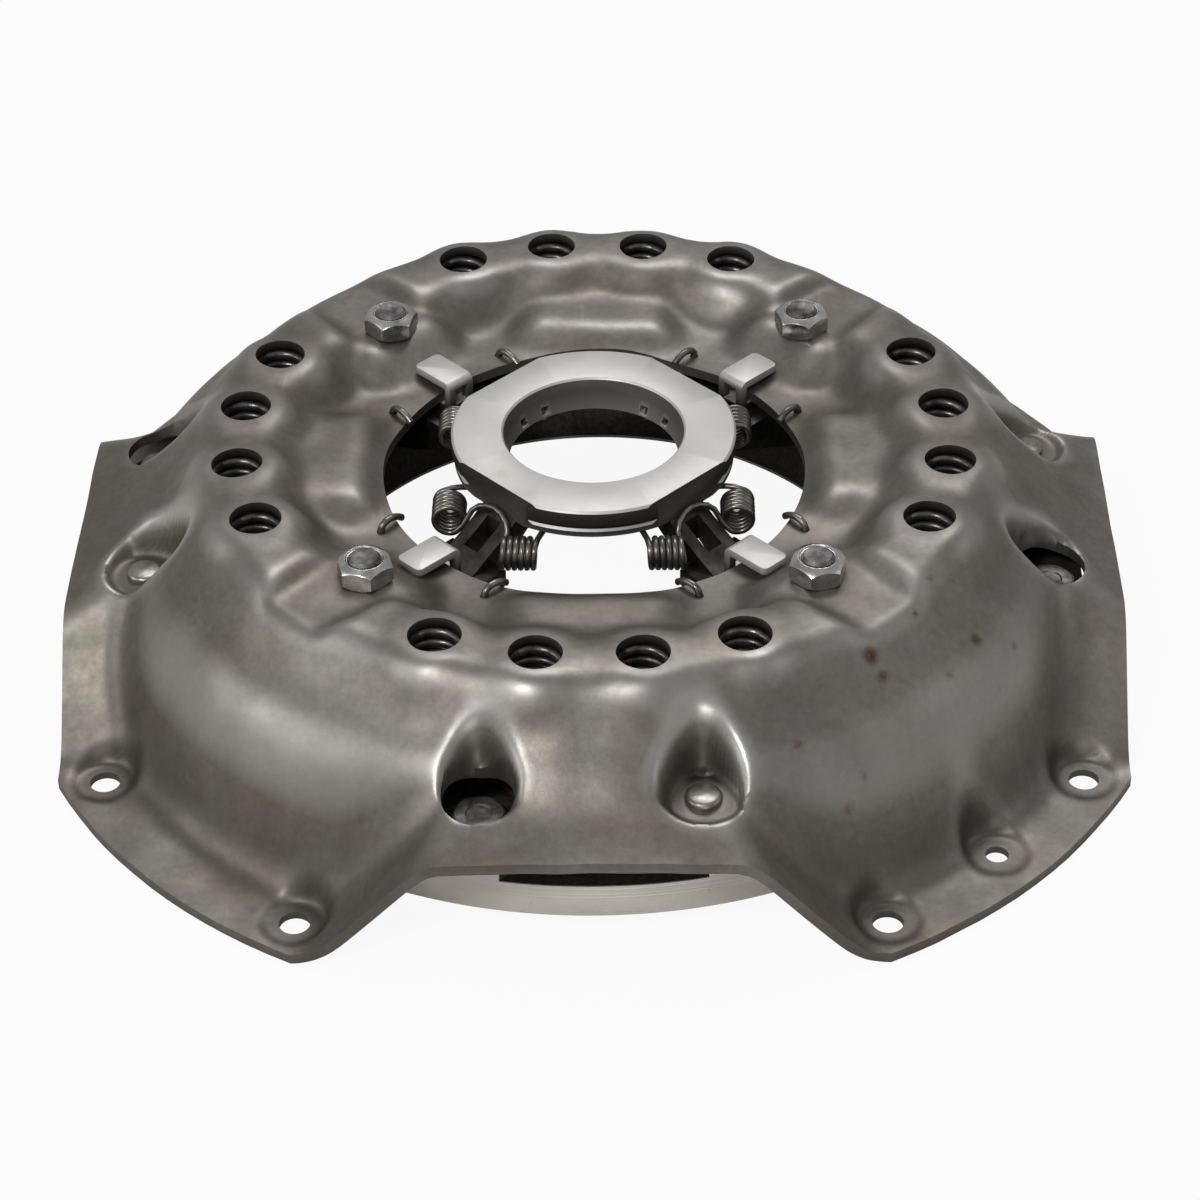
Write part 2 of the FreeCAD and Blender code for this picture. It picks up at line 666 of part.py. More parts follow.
os.makedirs("parts", exist_ok=True)
export("cover", cover())
export("pressure_plate", pressure_plate())
export("release_ring", release_ring())
export("eyebolts", at_each_lever(eyebolt()))
export("adjusting_nuts", at_each_lever(adjusting_nut()))
export("transport_clips", at_each_lever(transport_clip()))
export("spring_washers", spring_washers())
export("strap_rivets", at_each_side(strap_rivet()))
export("strap_bolts", at_each_side(strap_bolt()))
for number, angle in enumerate(DIAGONALS, 1):
    export("lever_%d" % number, turn(lever(), angle))
    export("lever_pins_%d" % number, turn(lever_pins(), angle))
    export("ring_spring_%d" % number, ring_spring(angle))
    export("hook_wires_%d" % number, hook_wires(angle))
for number, side in enumerate(SIDES, 1):
    export("coil_springs_%d" % number, coil_springs(side))
    export("drive_strap_%d" % number, drive_strap(side))
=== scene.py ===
# %% [markdown]
# # A clutch pressure plate
#
# This is the spring-loaded half of a lorry or tractor clutch. A pressed steel cover bolts to the flywheel.
# Sixteen coil springs push a cast iron plate away from it, and four levers pull that plate back when the
# release bearing pushes the ring in the middle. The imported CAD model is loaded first, as a fixed frame.

# %% The frame
import math
import bmesh
import bpy
import numpy as np
from mathutils import Matrix, Vector


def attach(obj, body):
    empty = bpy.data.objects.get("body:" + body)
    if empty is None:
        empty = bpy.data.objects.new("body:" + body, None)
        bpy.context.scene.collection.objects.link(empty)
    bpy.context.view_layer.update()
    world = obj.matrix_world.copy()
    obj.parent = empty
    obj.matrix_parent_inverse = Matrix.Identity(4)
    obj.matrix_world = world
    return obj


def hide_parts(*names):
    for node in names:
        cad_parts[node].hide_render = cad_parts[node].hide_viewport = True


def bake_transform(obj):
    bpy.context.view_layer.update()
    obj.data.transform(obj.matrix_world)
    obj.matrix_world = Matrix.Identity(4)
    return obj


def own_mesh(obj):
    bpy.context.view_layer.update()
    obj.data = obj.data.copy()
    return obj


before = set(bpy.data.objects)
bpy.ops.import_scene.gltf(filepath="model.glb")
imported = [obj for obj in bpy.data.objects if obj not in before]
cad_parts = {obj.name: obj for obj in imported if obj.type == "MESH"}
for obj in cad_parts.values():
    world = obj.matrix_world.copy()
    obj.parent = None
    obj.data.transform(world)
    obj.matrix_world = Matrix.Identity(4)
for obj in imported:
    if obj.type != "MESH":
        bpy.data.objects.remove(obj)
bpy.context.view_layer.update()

# %% [markdown]
# ## Measures
#
# The same lengths as on the drawing of the part, in millimetres. Everything below is worked out in
# millimetres and turned into metres only where a mesh is made.

# %% Measures
MM = 0.001
SHEET = 4.0
CROWN_TOP, CENTRE_TOP, CHANNEL_TOP, LIP_TOP = 84.0, 67.0, 78.0, 44.0
OPENING_R, SIDE_HALF, CORNER_R, WALL_R = 77.5, 191.0, 216.0, 184.0
LIP_HALF, EAR_HALF = 55.0, 92.0
DIAGONALS = (45, 135, 225, 315)
SIDES = (0, 90, 180, 270)
SPRING_PITCH_R, SPRING_ANGLES = 130.0, (-23.8, -8.0, 8.0, 23.8)
SPRING_HOLE_R, SPRING_R, SPRING_WIRE = 9.3, 9.9, 4.4
BOLT_PCD_R, BOLT_SPREAD, BOLT_HOLE_R = 201.2, 15.0, 5.4
DOWEL_R, DOWEL_HOLE_R, DOWEL_BEARINGS = 198.3, 4.1, (135, 315)
WINDOW, WINDOW_R, WINDOW_TOP = (-37.0, 165.2), 12.5, 48.5
RIVET, RIVET_TOP, RIVET_R = (38.0, 163.0), 47.0, 5.0
STRAP_HALF, STRAP_END, LEAVES, LEAF, LEAF_PITCH = 14.6, 12.5, 3, 0.95, 1.0
STRAP_HIGH = RIVET_TOP - SHEET
STRAP_LOW = STRAP_HIGH - 5.5
PLATE_R, PLATE_BORE_R, PLATE_FACE = 176.7, 106.5, 7.4
PLATE_RIM_TOP, PLATE_TOP, PLATE_TRAVEL, WASHER = 21.4, 28.0, 2.0, 3.0
PIVOT, PLATE_PIN = (111.2, 46.0), (127.2, 46.0)
PIVOT_PIN_R, PLATE_PIN_R = 5.0, 4.5
LEVER_HALF, LEVER_TOP, LUG_OFFSET, TONGUE_HALF = 14.0, 59.4, 18.7, 8.5
FORK_HALF, EYE_HALF, EYE_R = 7.5, 7.0, 9.5
STUD_R, STUD_TOP, NUT_FLATS, NUT_HEIGHT = 6.0, 86.85, 18.0, 8.0
RING_R, RING_FLAT, RING_BORE_R = 52.0, 48.0, 33.0
RING_TOP, RING_BOTTOM, RING_STEP = 85.5, 73.2, 79.5
WIRE, COIL_R, COIL_AT = 2.2, 5.2, (58.5, 18.0, 67.9)
STOP_HOLE, STOP_TIP = (85.0, 18.7), (69.5, 23.5)
CLIP, CLIP_TOP = 3.0, 73.0


def polar(radius, angle):
    return radius * math.cos(math.radians(angle)), radius * math.sin(math.radians(angle))


def side_point(along, out, side):
    """A point given along and out from the side at -Y, turned to the side asked for."""
    a = math.radians(side)
    return along * math.cos(a) + out * math.sin(a), along * math.sin(a) - out * math.cos(a)


spring_places = [polar(SPRING_PITCH_R, side + spread) for side in SIDES for spread in SPRING_ANGLES]
print("springs:", len(spring_places))

# %% [markdown]
# ## Workshop helpers
#
# A shape is a pair of corner points and faces, in millimetres. Turned, drawn out and joined shapes cover
# nearly every machined piece here. Holes are cut with Blender's boolean modifier and edges broken with its
# bevel modifier, so each piece keeps the crisp outline of a cut part with the small round of a real edge.

# %% Helpers for shapes
def lathe(outline, steps=96):
    """A closed outline of (r, z) points turned once round the Z axis."""
    outline = np.array(outline, float)
    count = len(outline)
    angles = np.arange(steps) * 2 * math.pi / steps
    points = [(r * math.cos(a), r * math.sin(a), z) for a in angles for r, z in outline]
    faces = []
    for i in range(steps):
        near, far = i * count, (i + 1) % steps * count
        for k in range(count):
            n = (k + 1) % count
            faces.append((near + k, far + k, far + n, near + n))
    return np.array(points), faces


def spindle(outline, steps=64):
    """Like lathe, for an outline whose first and last points lie on the axis, which become single points."""
    ring = outline[1:-1]
    count = len(ring)
    angles = np.arange(steps) * 2 * math.pi / steps
    points = [(r * math.cos(a), r * math.sin(a), z) for a in angles for r, z in ring]
    foot, tip = len(points), len(points) + 1
    points += [(0, 0, outline[0][1]), (0, 0, outline[-1][1])]
    faces = []
    for i in range(steps):
        near, far = i * count, (i + 1) % steps * count
        faces.append((foot, far, near))
        for k in range(count - 1):
            faces.append((near + k, far + k, far + k + 1, near + k + 1))
        faces.append((near + count - 1, far + count - 1, tip))
    return np.array(points, float), faces


def drawn_out(plan, low, high):
    """A closed plan of (x, y) points drawn out from one height to another."""
    count = len(plan)
    points = [(x, y, low) for x, y in plan] + [(x, y, high) for x, y in plan]
    faces = [tuple(range(count - 1, -1, -1)), tuple(range(count, 2 * count))]
    faces += [(k, (k + 1) % count, count + (k + 1) % count, count + k) for k in range(count)]
    return np.array(points, float), faces


def placed(shape, x=0.0, y=0.0, z=0.0, angle=0.0):
    """A shape moved, and then turned about the clutch's axis."""
    points = shape[0] + np.array([x, y, z])
    c, s = math.cos(math.radians(angle)), math.sin(math.radians(angle))
    return points @ np.array([[c, s, 0], [-s, c, 0], [0, 0, 1]]), shape[1]


def upended(shape):
    """A shape drawn in plan as (out, height) stood up, so that it spans the Y axis."""
    x, y, z = shape[0].T
    return np.stack([x, -z, y], axis=1), shape[1]


def together(shapes):
    points, faces = [], []
    for part, part_faces in shapes:
        start = sum(len(p) for p in points)
        points.append(part)
        faces += [tuple(start + k for k in face) for face in part_faces]
    return np.concatenate(points), faces


def arc(radius, first, last, steps, x=0.0, y=0.0):
    """Points along part of a circle, from one angle to another."""
    turns = [math.radians(first + (last - first) * i / steps) for i in range(steps + 1)]
    return [(x + radius * math.cos(t), y + radius * math.sin(t)) for t in turns]


def circle(radius, steps=48, x=0.0, y=0.0, start=0.0):
    turns = [math.radians(start + 360 * i / steps) for i in range(steps)]
    return [(x + radius * math.cos(t), y + radius * math.sin(t)) for t in turns]


def rod(radius, low, high, x=0.0, y=0.0, steps=48, start=0.0):
    return placed(drawn_out(circle(radius, steps, start=start), low, high), x, y)


def block(x0, x1, y0, y1, z0, z1):
    return drawn_out([(x0, y0), (x1, y0), (x1, y1), (x0, y1)], z0, z1)


def piece(name, shape):
    """An object in metres from a shape in millimetres."""
    mesh = bpy.data.meshes.new(name)
    mesh.from_pydata((shape[0] * MM).tolist(), [], shape[1])
    work = bmesh.new()
    work.from_mesh(mesh)
    bmesh.ops.recalc_face_normals(work, faces=work.faces)
    work.to_mesh(mesh)
    work.free()
    thing = bpy.data.objects.new(name, mesh)
    bpy.context.scene.collection.objects.link(thing)
    return thing


def corners_of(thing):
    points = np.empty(len(thing.data.vertices) * 3)
    thing.data.vertices.foreach_get("co", points)
    return points.reshape(-1, 3) / MM


def taken_back(thing):
    """A piece turned back into a shape, to be repeated or joined to another."""
    shape = corners_of(thing), [tuple(face.vertices) for face in thing.data.polygons]
    bpy.data.objects.remove(thing)
    return shape


def settled(thing):
    """Apply whatever modifiers a piece has."""
    graph = bpy.context.evaluated_depsgraph_get()
    mesh = bpy.data.meshes.new_from_object(thing.evaluated_get(graph))
    thing.modifiers.clear()
    thing.data = mesh
    return thing


def carved(thing, shape, how="DIFFERENCE"):
    """Cut a shape out of a piece, or keep only what they share, or join the two."""
    tool = piece("tool", shape)
    step = thing.modifiers.new("carve", "BOOLEAN")
    step.operation, step.solver, step.object = how, "MANIFOLD", tool
    graph = bpy.context.evaluated_depsgraph_get()
    if len(thing.evaluated_get(graph).data.polygons) == 0:
        step.solver = "EXACT"
    settled(thing)
    bpy.data.objects.remove(tool)
    return thing


def broken_edges(thing, width, segments=2, angle=35):
    step = thing.modifiers.new("edges", "BEVEL")
    step.width, step.segments = width * MM, segments
    step.limit_method, step.angle_limit = "ANGLE", math.radians(angle)
    step.harden_normals = False
    return settled(thing)


def smooth_where_round(thing, angle=38):
    thing.data.shade_smooth()
    thing.data.set_sharp_from_angle(angle=math.radians(angle))
    return thing


def wire(name, points, radius, sides=3, steps=6):
    """A round wire along a smooth curve through the points, as a mesh with closed ends."""
    line = bpy.data.curves.new(name + "_line", "CURVE")
    line.dimensions = "3D"
    line.bevel_depth, line.bevel_resolution, line.use_fill_caps = radius * MM, sides, True
    spline = line.splines.new("BEZIER")
    spline.bezier_points.add(len(points) - 1)
    for knot, point in zip(spline.bezier_points, points):
        knot.co = Vector(point) * MM
        knot.handle_left_type = knot.handle_right_type = "AUTO"
    spline.resolution_u = steps
    drawn = bpy.data.objects.new(name + "_line", line)
    bpy.context.scene.collection.objects.link(drawn)
    graph = bpy.context.evaluated_depsgraph_get()
    thing = bpy.data.objects.new(name, bpy.data.meshes.new_from_object(drawn.evaluated_get(graph)))
    bpy.data.objects.remove(drawn)
    bpy.context.scene.collection.objects.link(thing)
    return smooth_where_round(thing, 50)


def one_piece(name, things):
    """Join several meshes in one piece."""
    return smooth_where_round(piece(name, together([taken_back(thing) for thing in things])), 50)


print("helpers ready")

# %% [markdown]
# ## The camera
#
# The view is the photograph's: a long lens, a little under forty degrees above the floor, turned by about
# one degree. Its place was found by fitting the sixteen spring holes and the nuts of the drawing to the
# picture, so a piece that is right in the frame is right in the render too.

# %% Camera
def clutch_camera(elevation=37.611, azimuth=1.071, roll=-0.852,
                  distance=9.5977, aside=0.01799, down=-0.47130):
    """Camera that looks at the top of the cover's crown; distances are in spring circle radii."""
    e, a, t = (math.radians(v) for v in (elevation, azimuth, roll))
    back = np.array([math.sin(a) * math.cos(e), -math.cos(a) * math.cos(e), math.sin(e)])
    level = np.array([math.cos(a), math.sin(a), 0.0])
    upright = np.cross(back, level)
    right = math.cos(t) * level + math.sin(t) * upright
    up = -math.sin(t) * level + math.cos(t) * upright
    place = (back * distance + aside * right + down * up) * SPRING_PITCH_R + np.array([0, 0, CROWN_TOP])
    lens = bpy.data.cameras.new("camera")
    lens.lens, lens.sensor_width = 102.58, 36.0
    lens.clip_start, lens.clip_end = 0.05, 50.0
    camera = bpy.data.objects.new("camera", lens)
    turned = Matrix(np.stack([right, up, back], axis=1)).to_4x4()
    camera.matrix_world = Matrix.Translation(Vector(place) * MM) @ turned
    bpy.context.scene.collection.objects.link(camera)
    bpy.context.scene.camera = camera
    return camera


camera = clutch_camera()
print("camera at", [round(v, 3) for v in camera.location])

# %% [markdown]
# ## Finishes
#
# The clutch is bare steel under a film of oil. Each finish is a small node tree: one noise for the slow
# change of colour, a finer one for the grain and for the change of gloss. Plain numbers stay on the shader
# itself.

# %% Finish helpers
class Finish:
    """A material and the few nodes it is made of."""

    def __init__(self, name, colour, roughness, metallic=1.0):
        self.material = bpy.data.materials.new(name)
        self.material.use_nodes = True
        self.tree = self.material.node_tree
        self.shader = self.tree.nodes["Principled BSDF"]
        self.shader.inputs["Base Color"].default_value = (*colour, 1)
        self.shader.inputs["Metallic"].default_value = metallic
        self.shader.inputs["Roughness"].default_value = roughness
        self.place = self.node("ShaderNodeTexCoord").outputs["Object"]

    def node(self, kind, **settings):
        made = self.tree.nodes.new(kind)
        for name, value in settings.items():
            setattr(made, name, value)
        return made

    def link(self, source, target):
        self.tree.links.new(source, target)

    def noise(self, scale, detail=4.0, roughness=0.6, stretch=None):
        made = self.node("ShaderNodeTexNoise")
        made.inputs["Scale"].default_value = scale
        made.inputs["Detail"].default_value = detail
        made.inputs["Roughness"].default_value = roughness
        if stretch:
            mapping = self.node("ShaderNodeMapping")
            mapping.inputs["Scale"].default_value = stretch
            self.link(self.place, mapping.inputs["Vector"])
            self.link(mapping.outputs["Vector"], made.inputs["Vector"])
        else:
            self.link(self.place, made.inputs["Vector"])
        return made.outputs["Fac"]

    def ramp(self, source, stops):
        """A ramp from (place, value or colour) stops."""
        made = self.node("ShaderNodeValToRGB")
        while len(made.color_ramp.elements) < len(stops):
            made.color_ramp.elements.new(0.5)
        for element, (place, value) in zip(made.color_ramp.elements, stops):
            element.position = place
            element.color = (*value, 1) if isinstance(value, tuple) else (value, value, value, 1)
        self.link(source, made.inputs["Fac"])
        return made.outputs["Color"]

    def sums(self, how, first, second):
        made = self.node("ShaderNodeMath", operation=how)
        for socket, value in zip(made.inputs, (first, second)):
            if isinstance(value, bpy.types.NodeSocket):
                self.link(value, socket)
            else:
                socket.default_value = value
        return made.outputs["Value"]

    def attribute(self, name):
        return self.node("ShaderNodeAttribute", attribute_name=name).outputs["Fac"]

    def bump(self, height, strength, distance=0.0002, onto=None):
        made = self.node("ShaderNodeBump")
        made.inputs["Strength"].default_value = strength
        made.inputs["Distance"].default_value = distance
        self.link(height, made.inputs["Height"])
        if onto is not None:
            self.link(onto, made.inputs["Normal"])
        self.link(made.outputs["Normal"], self.shader.inputs["Normal"])
        return made.outputs["Normal"]

    def colour(self, socket):
        self.link(socket, self.shader.inputs["Base Color"])

    def roughness(self, socket):
        self.link(socket, self.shader.inputs["Roughness"])


def colour_mix(finish, share, first, second, how="MIX"):
    """Mix two colours, each a socket or a colour. The node's colour sockets are found by their kind."""
    made = finish.node("ShaderNodeMix", data_type="RGBA", blend_type=how)
    factor = [s for s in made.inputs if s.name == "Factor" and s.type == "VALUE"][0]
    colour_a = [s for s in made.inputs if s.name == "A" and s.type == "RGBA"][0]
    colour_b = [s for s in made.inputs if s.name == "B" and s.type == "RGBA"][0]
    for socket, value in ((factor, share), (colour_a, first), (colour_b, second)):
        if isinstance(value, bpy.types.NodeSocket):
            finish.link(value, socket)
        elif isinstance(value, tuple):
            socket.default_value = (*value, 1)
        else:
            socket.default_value = value
    return [s for s in made.outputs if s.type == "RGBA"][0]


print("finish helpers ready")

# %% [markdown]
# ### Oiled sheet steel
#
# The cover: hot rolled sheet, pressed, then oiled. Its grey is warm and clouded with brown where the oil
# has dried. Painted shade darkens it in the creases, and a painted highlight brightens the bulges, which are
# also a little glossier. Three numbers kept on the mesh say where the painted shade and highlight go, where
# the rust spots are, and which hole walls get painted shade.

# %% Oiled sheet steel
def oiled_sheet_finish():
    steel = Finish("oiled_sheet_steel", (0.20, 0.19, 0.18), 0.5, metallic=0.85)
    # Besides dried oil, wear and rust, these colours hold a painted highlight for the bulges and painted
    # shade for the creases and for the walls of the spring holes.
    dry_oil, worn, bulge_highlight = (0.165, 0.138, 0.104), (0.34, 0.33, 0.31), (0.58, 0.57, 0.55)
    crease_shade, rust_brown, hole_shade = (0.075, 0.068, 0.060), (0.085, 0.036, 0.020), (0.018, 0.016, 0.015)
    clouds = [(0.30, (0.140, 0.125, 0.110)), (0.48, (0.182, 0.170, 0.155)), (0.70, (0.225, 0.216, 0.202))]
    grey = steel.ramp(steel.noise(9.0, 5.0, 0.62), clouds)
    stain = steel.ramp(steel.noise(21.0, 6.0, 0.7), [(0.46, 0.0), (0.64, 1.0)])
    grey = colour_mix(steel, steel.sums("MULTIPLY", stain, 0.5), grey, dry_oil)
    streak = steel.noise(70.0, 5.0, 0.6, (1.0, 1.0, 0.4))
    streak = steel.ramp(streak, [(0.35, (0.82, 0.82, 0.82)), (0.65, (1.1, 1.1, 1.1))])
    grey = colour_mix(steel, 0.55, grey, streak, "MULTIPLY")
    scratches = steel.noise(110.0, 7.0, 0.8, (1.0, 0.10, 0.5))
    scratches = steel.ramp(scratches, [(0.60, 0.0), (0.72, 1.0)])
    grey = colour_mix(steel, steel.sums("MULTIPLY", scratches, 0.30), grey, worn)
    grain = steel.noise(330.0, 5.0, 0.7)
    grain = steel.ramp(grain, [(0.35, (0.80, 0.80, 0.80)), (0.62, (1.08, 1.07, 1.06))])
    grey = colour_mix(steel, 0.6, grey, grain, "MULTIPLY")
    painted_shading = steel.attribute("painted_shading")
    # Painted shade in the hollows of the sheet.
    grey = colour_mix(steel, steel.ramp(painted_shading, [(0.50, 0.0), (1.0, 0.75)]), grey, crease_shade)
    # Painted highlight on the bulges.
    grey = colour_mix(steel, steel.ramp(painted_shading, [(0.0, 0.65), (0.45, 0.0)]), grey, bulge_highlight)
    flakes = steel.ramp(steel.noise(520.0, 5.0, 0.75), [(0.34, 0.35), (0.48, 1.0)])
    rust = steel.sums("MULTIPLY", steel.attribute("rust"), flakes)
    grey = colour_mix(steel, rust, grey, rust_brown)
    # Painted shade: the walls of the spring holes near black.
    grey = colour_mix(steel, steel.attribute("shaded_hole_walls"), grey, hole_shade)
    steel.colour(grey)
    gloss = steel.ramp(steel.noise(33.0, 9.0, 0.72), [(0.3, 0.36), (0.7, 0.56)])
    gloss = colour_mix(steel, steel.ramp(painted_shading, [(0.0, 0.7), (0.45, 0.0)]), gloss, (0.30, 0.30, 0.30))
    gloss = colour_mix(steel, rust, gloss, (0.75, 0.75, 0.75))
    steel.roughness(gloss)
    orange_peel = steel.noise(160.0, 3.0, 0.6)
    first = steel.bump(orange_peel, 0.10, 0.0006)
    steel.bump(steel.noise(1400.0, 3.0, 0.6), 0.12, 0.0001, first)
    return steel.material


oiled_sheet = oiled_sheet_finish()
print("cover finish:", oiled_sheet.name)

# %% [markdown]
# ### The other metals
#
# Cast iron is nearly black and gritty. Where a tool has turned it, it is pale and shows the fine rings
# the tool left. The ring and the clips are ground steel, the nuts are zinc plated, and all wires are oil
# blackened spring steel.

# %% Iron, ground steel, zinc and spring wire
def cast_iron_finish():
    """Dark casting, with the rim and friction face turned bright."""
    iron = Finish("cast_and_turned_iron", (0.05, 0.048, 0.045), 0.6, metallic=0.35)
    sand = iron.noise(420.0, 6.0, 0.7)
    dark = iron.ramp(sand, [(0.35, (0.020, 0.019, 0.018)), (0.62, (0.070, 0.066, 0.060))])
    parts = iron.node("ShaderNodeSeparateXYZ")
    iron.link(iron.place, parts.inputs["Vector"])
    flat = iron.node("ShaderNodeCombineXYZ")
    iron.link(parts.outputs["X"], flat.inputs["X"])
    iron.link(parts.outputs["Y"], flat.inputs["Y"])
    reach = iron.node("ShaderNodeVectorMath", operation="LENGTH")
    iron.link(flat.outputs["Vector"], reach.inputs[0])
    on_rim = iron.sums("GREATER_THAN", reach.outputs["Value"], (PLATE_R - 0.5) * MM)
    on_face = iron.sums("LESS_THAN", parts.outputs["Z"], (PLATE_FACE + 1.2) * MM)
    turned_mark = iron.sums("MAXIMUM", on_rim, on_face)
    cloud = iron.noise(26.0, 5.0, 0.6)
    pale = iron.ramp(cloud, [(0.35, (0.56, 0.53, 0.475)), (0.6, (0.66, 0.63, 0.575))])
    specks = iron.ramp(iron.noise(230.0, 4.0, 0.6), [(0.66, 0.0), (0.74, 1.0)])
    pale = colour_mix(iron, iron.sums("MULTIPLY", specks, 0.5), pale, (0.22, 0.17, 0.13))
    iron.colour(colour_mix(iron, turned_mark, dark, pale))
    iron.roughness(colour_mix(iron, turned_mark, (0.72, 0.72, 0.72), (0.42, 0.42, 0.42)))
    rings = iron.noise(60.0, 3.0, 0.6, (0.05, 0.05, 30.0))
    coarse = colour_mix(iron, turned_mark, sand, rings)
    iron.bump(coarse, 0.5, 0.0004)
    return iron.material


def ground_steel_finish():
    """Ground face of the ring and clips: pale, with faint brown touches, and painted shade on faces that do
    not face up.
    """
    ground = Finish("ground_steel", (0.5, 0.49, 0.47), 0.5, metallic=0.6)
    cloud = ground.noise(38.0, 5.0, 0.6)
    base = ground.ramp(cloud, [(0.3, (0.44, 0.43, 0.41)), (0.7, (0.53, 0.52, 0.50))])
    touch = ground.ramp(ground.noise(90.0, 5.0, 0.65), [(0.60, 0.0), (0.75, 1.0)])
    base = colour_mix(ground, ground.sums("MULTIPLY", touch, 0.35), base, (0.30, 0.26, 0.21))
    # Painted shade: faces that are not turned up darken by the share the mesh holds.
    shade = ground.attribute("painted_shading")
    upright = ground.node("ShaderNodeNewGeometry").outputs["True Normal"]
    parts = ground.node("ShaderNodeSeparateXYZ")
    ground.link(upright, parts.inputs["Vector"])
    side = ground.sums("LESS_THAN", parts.outputs["Z"], 0.35)
    base = colour_mix(ground, ground.sums("MULTIPLY", shade, side), base, (0.050, 0.046, 0.042))
    ground.colour(base)
    ground.roughness(ground.ramp(ground.noise(60.0, 5.0, 0.6), [(0.3, 0.42), (0.7, 0.54)]))
    ground.bump(ground.noise(900.0, 3.0, 0.6), 0.12, 0.0001)
    return ground.material


def zinc_finish():
    zinc = Finish("zinc_plate", (0.6, 0.6, 0.59), 0.22)
    dull, bright = (0.36, 0.355, 0.345), (0.72, 0.715, 0.70)
    zinc.colour(zinc.ramp(zinc.noise(150.0, 4.0, 0.6), [(0.3, dull), (0.7, bright)]))
    zinc.roughness(zinc.ramp(zinc.noise(260.0, 4.0, 0.6), [(0.3, 0.16), (0.7, 0.34)]))
    zinc.bump(zinc.noise(700.0, 3.0, 0.6), 0.2, 0.0001)
    return zinc.material


def blackened_finish(name, dark, pale, roughness):
    """Oil blackened steel: nearly black, with a worn sheen."""
    black = Finish(name, dark, roughness, metallic=0.85)
    black.colour(black.ramp(black.noise(140.0, 5.0, 0.65), [(0.35, dark), (0.70, pale)]))
    gloss = black.noise(220.0, 4.0, 0.6)
    black.roughness(black.ramp(gloss, [(0.3, roughness - 0.08), (0.7, roughness + 0.10)]))
    black.bump(black.noise(800.0, 3.0, 0.6), 0.25, 0.00015)
    return black.material


cast_iron = cast_iron_finish()
ground_steel = ground_steel_finish()
zinc_plate = zinc_finish()
spring_wire = blackened_finish("black_spring_wire", (0.045, 0.042, 0.039), (0.21, 0.20, 0.19), 0.30)
ring_wire = blackened_finish("oiled_wire", (0.11, 0.10, 0.09), (0.24, 0.23, 0.21), 0.30)
forged = blackened_finish("forged_steel", (0.026, 0.024, 0.022), (0.075, 0.070, 0.064), 0.46)
bolt_black = blackened_finish("black_bolt", (0.05, 0.048, 0.046), (0.26, 0.25, 0.245), 0.50)
rivet_steel = blackened_finish("rivet_steel", (0.20, 0.185, 0.165), (0.34, 0.325, 0.30), 0.34)
strap_steel = blackened_finish("strap_steel", (0.10, 0.095, 0.088), (0.19, 0.18, 0.165), 0.38)
fibre = blackened_finish("pressed_fibre", (0.10, 0.075, 0.050), (0.17, 0.135, 0.095), 0.75)


def dressed(thing, finish, body, *nodes):
    """Give a piece its finish, tie it to its body if it has only one, and let it stand for its CAD nodes."""
    thing.data.materials.clear()
    thing.data.materials.append(finish)
    if body:
        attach(thing, body)
    if nodes:
        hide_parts(*nodes)
    return thing


print("finishes:", len(bpy.data.materials))

# %% [markdown]
# ## The pressed cover
#
# The cover is one sheet of steel, four millimetres thick, struck in a press. Nothing on it is sharp except
# where a punch has cut it. So it is drawn as a map of heights on a fine square grid: each form is a simple
# function of where it is, highest or lowest wins, and a blur stands for the stretch of the metal round
# the die. The inner face is the outer one moved in by the thickness of the sheet.

# %% Map of heights
STEP = 1.25
REACH = 195.0
grid_line = np.arange(-REACH, REACH + STEP / 2, STEP)
X, Y = np.meshgrid(grid_line, grid_line, indexing="ij")
R = np.hypot(X, Y)


def blurred(field, width):
    """Soften a map by a bell curve of the given width in millimetres."""
    half = int(3 * width / STEP) + 1
    bell = np.exp(-0.5 * (np.arange(-half, half + 1) * STEP / width) ** 2)
    bell /= bell.sum()
    padded = np.pad(field, half, mode="edge")
    padded = np.apply_along_axis(lambda row: np.convolve(row, bell, mode="valid"), 0, padded)
    return np.apply_along_axis(lambda row: np.convolve(row, bell, mode="valid"), 1, padded)


def seen_from(angle):
    """Coordinates of the grid along and across a bearing."""
    a = math.radians(angle)
    return X * math.cos(a) + Y * math.sin(a), -X * math.sin(a) + Y * math.cos(a)


def dome_and_lips():
    """The turned dome with its flange, and the raised lip in the middle of each side."""
    dome_r = [0, 104.5, 117.5, 144, 152, 169, 180.5, WALL_R, WALL_R + 8, 300]
    dome_z = [CENTRE_TOP, CENTRE_TOP, CROWN_TOP - 1, CROWN_TOP - 1, 70, 58, 38, 14, SHEET, SHEET]
    heights = np.interp(R, dome_r, dome_z)
    lean = (EAR_HALF - LIP_HALF) / (LIP_TOP - SHEET)
    for side in SIDES:
        out, across = seen_from(side)
        slope_out, slope_z = [110, 150, 171, SIDE_HALF, SIDE_HALF + 20], [75, 66, 53, LIP_TOP, LIP_TOP - 8.7]
        slope = np.interp(out, slope_out, slope_z)
        flank = LIP_TOP - (np.abs(across) - LIP_HALF) / lean
        lip = np.where(out > 80, np.minimum(slope, flank), -99)
        heights = np.maximum(heights, lip)
    return blurred(heights, 3.6)


def with_spring_bulges(heights):
    """A flat-topped bulge over each spring."""
    bulge_r, bulge_z = [0, 16.5, 20, 23, 40], [CROWN_TOP, CROWN_TOP, 79, 60, -99]
    bulges = np.full_like(X, -99.0)
    for x, y in spring_places:
        bulges = np.maximum(bulges, np.interp(np.hypot(X - x, Y - y), bulge_r, bulge_z))
    return np.maximum(heights, blurred(np.maximum(bulges, heights), 2.6))


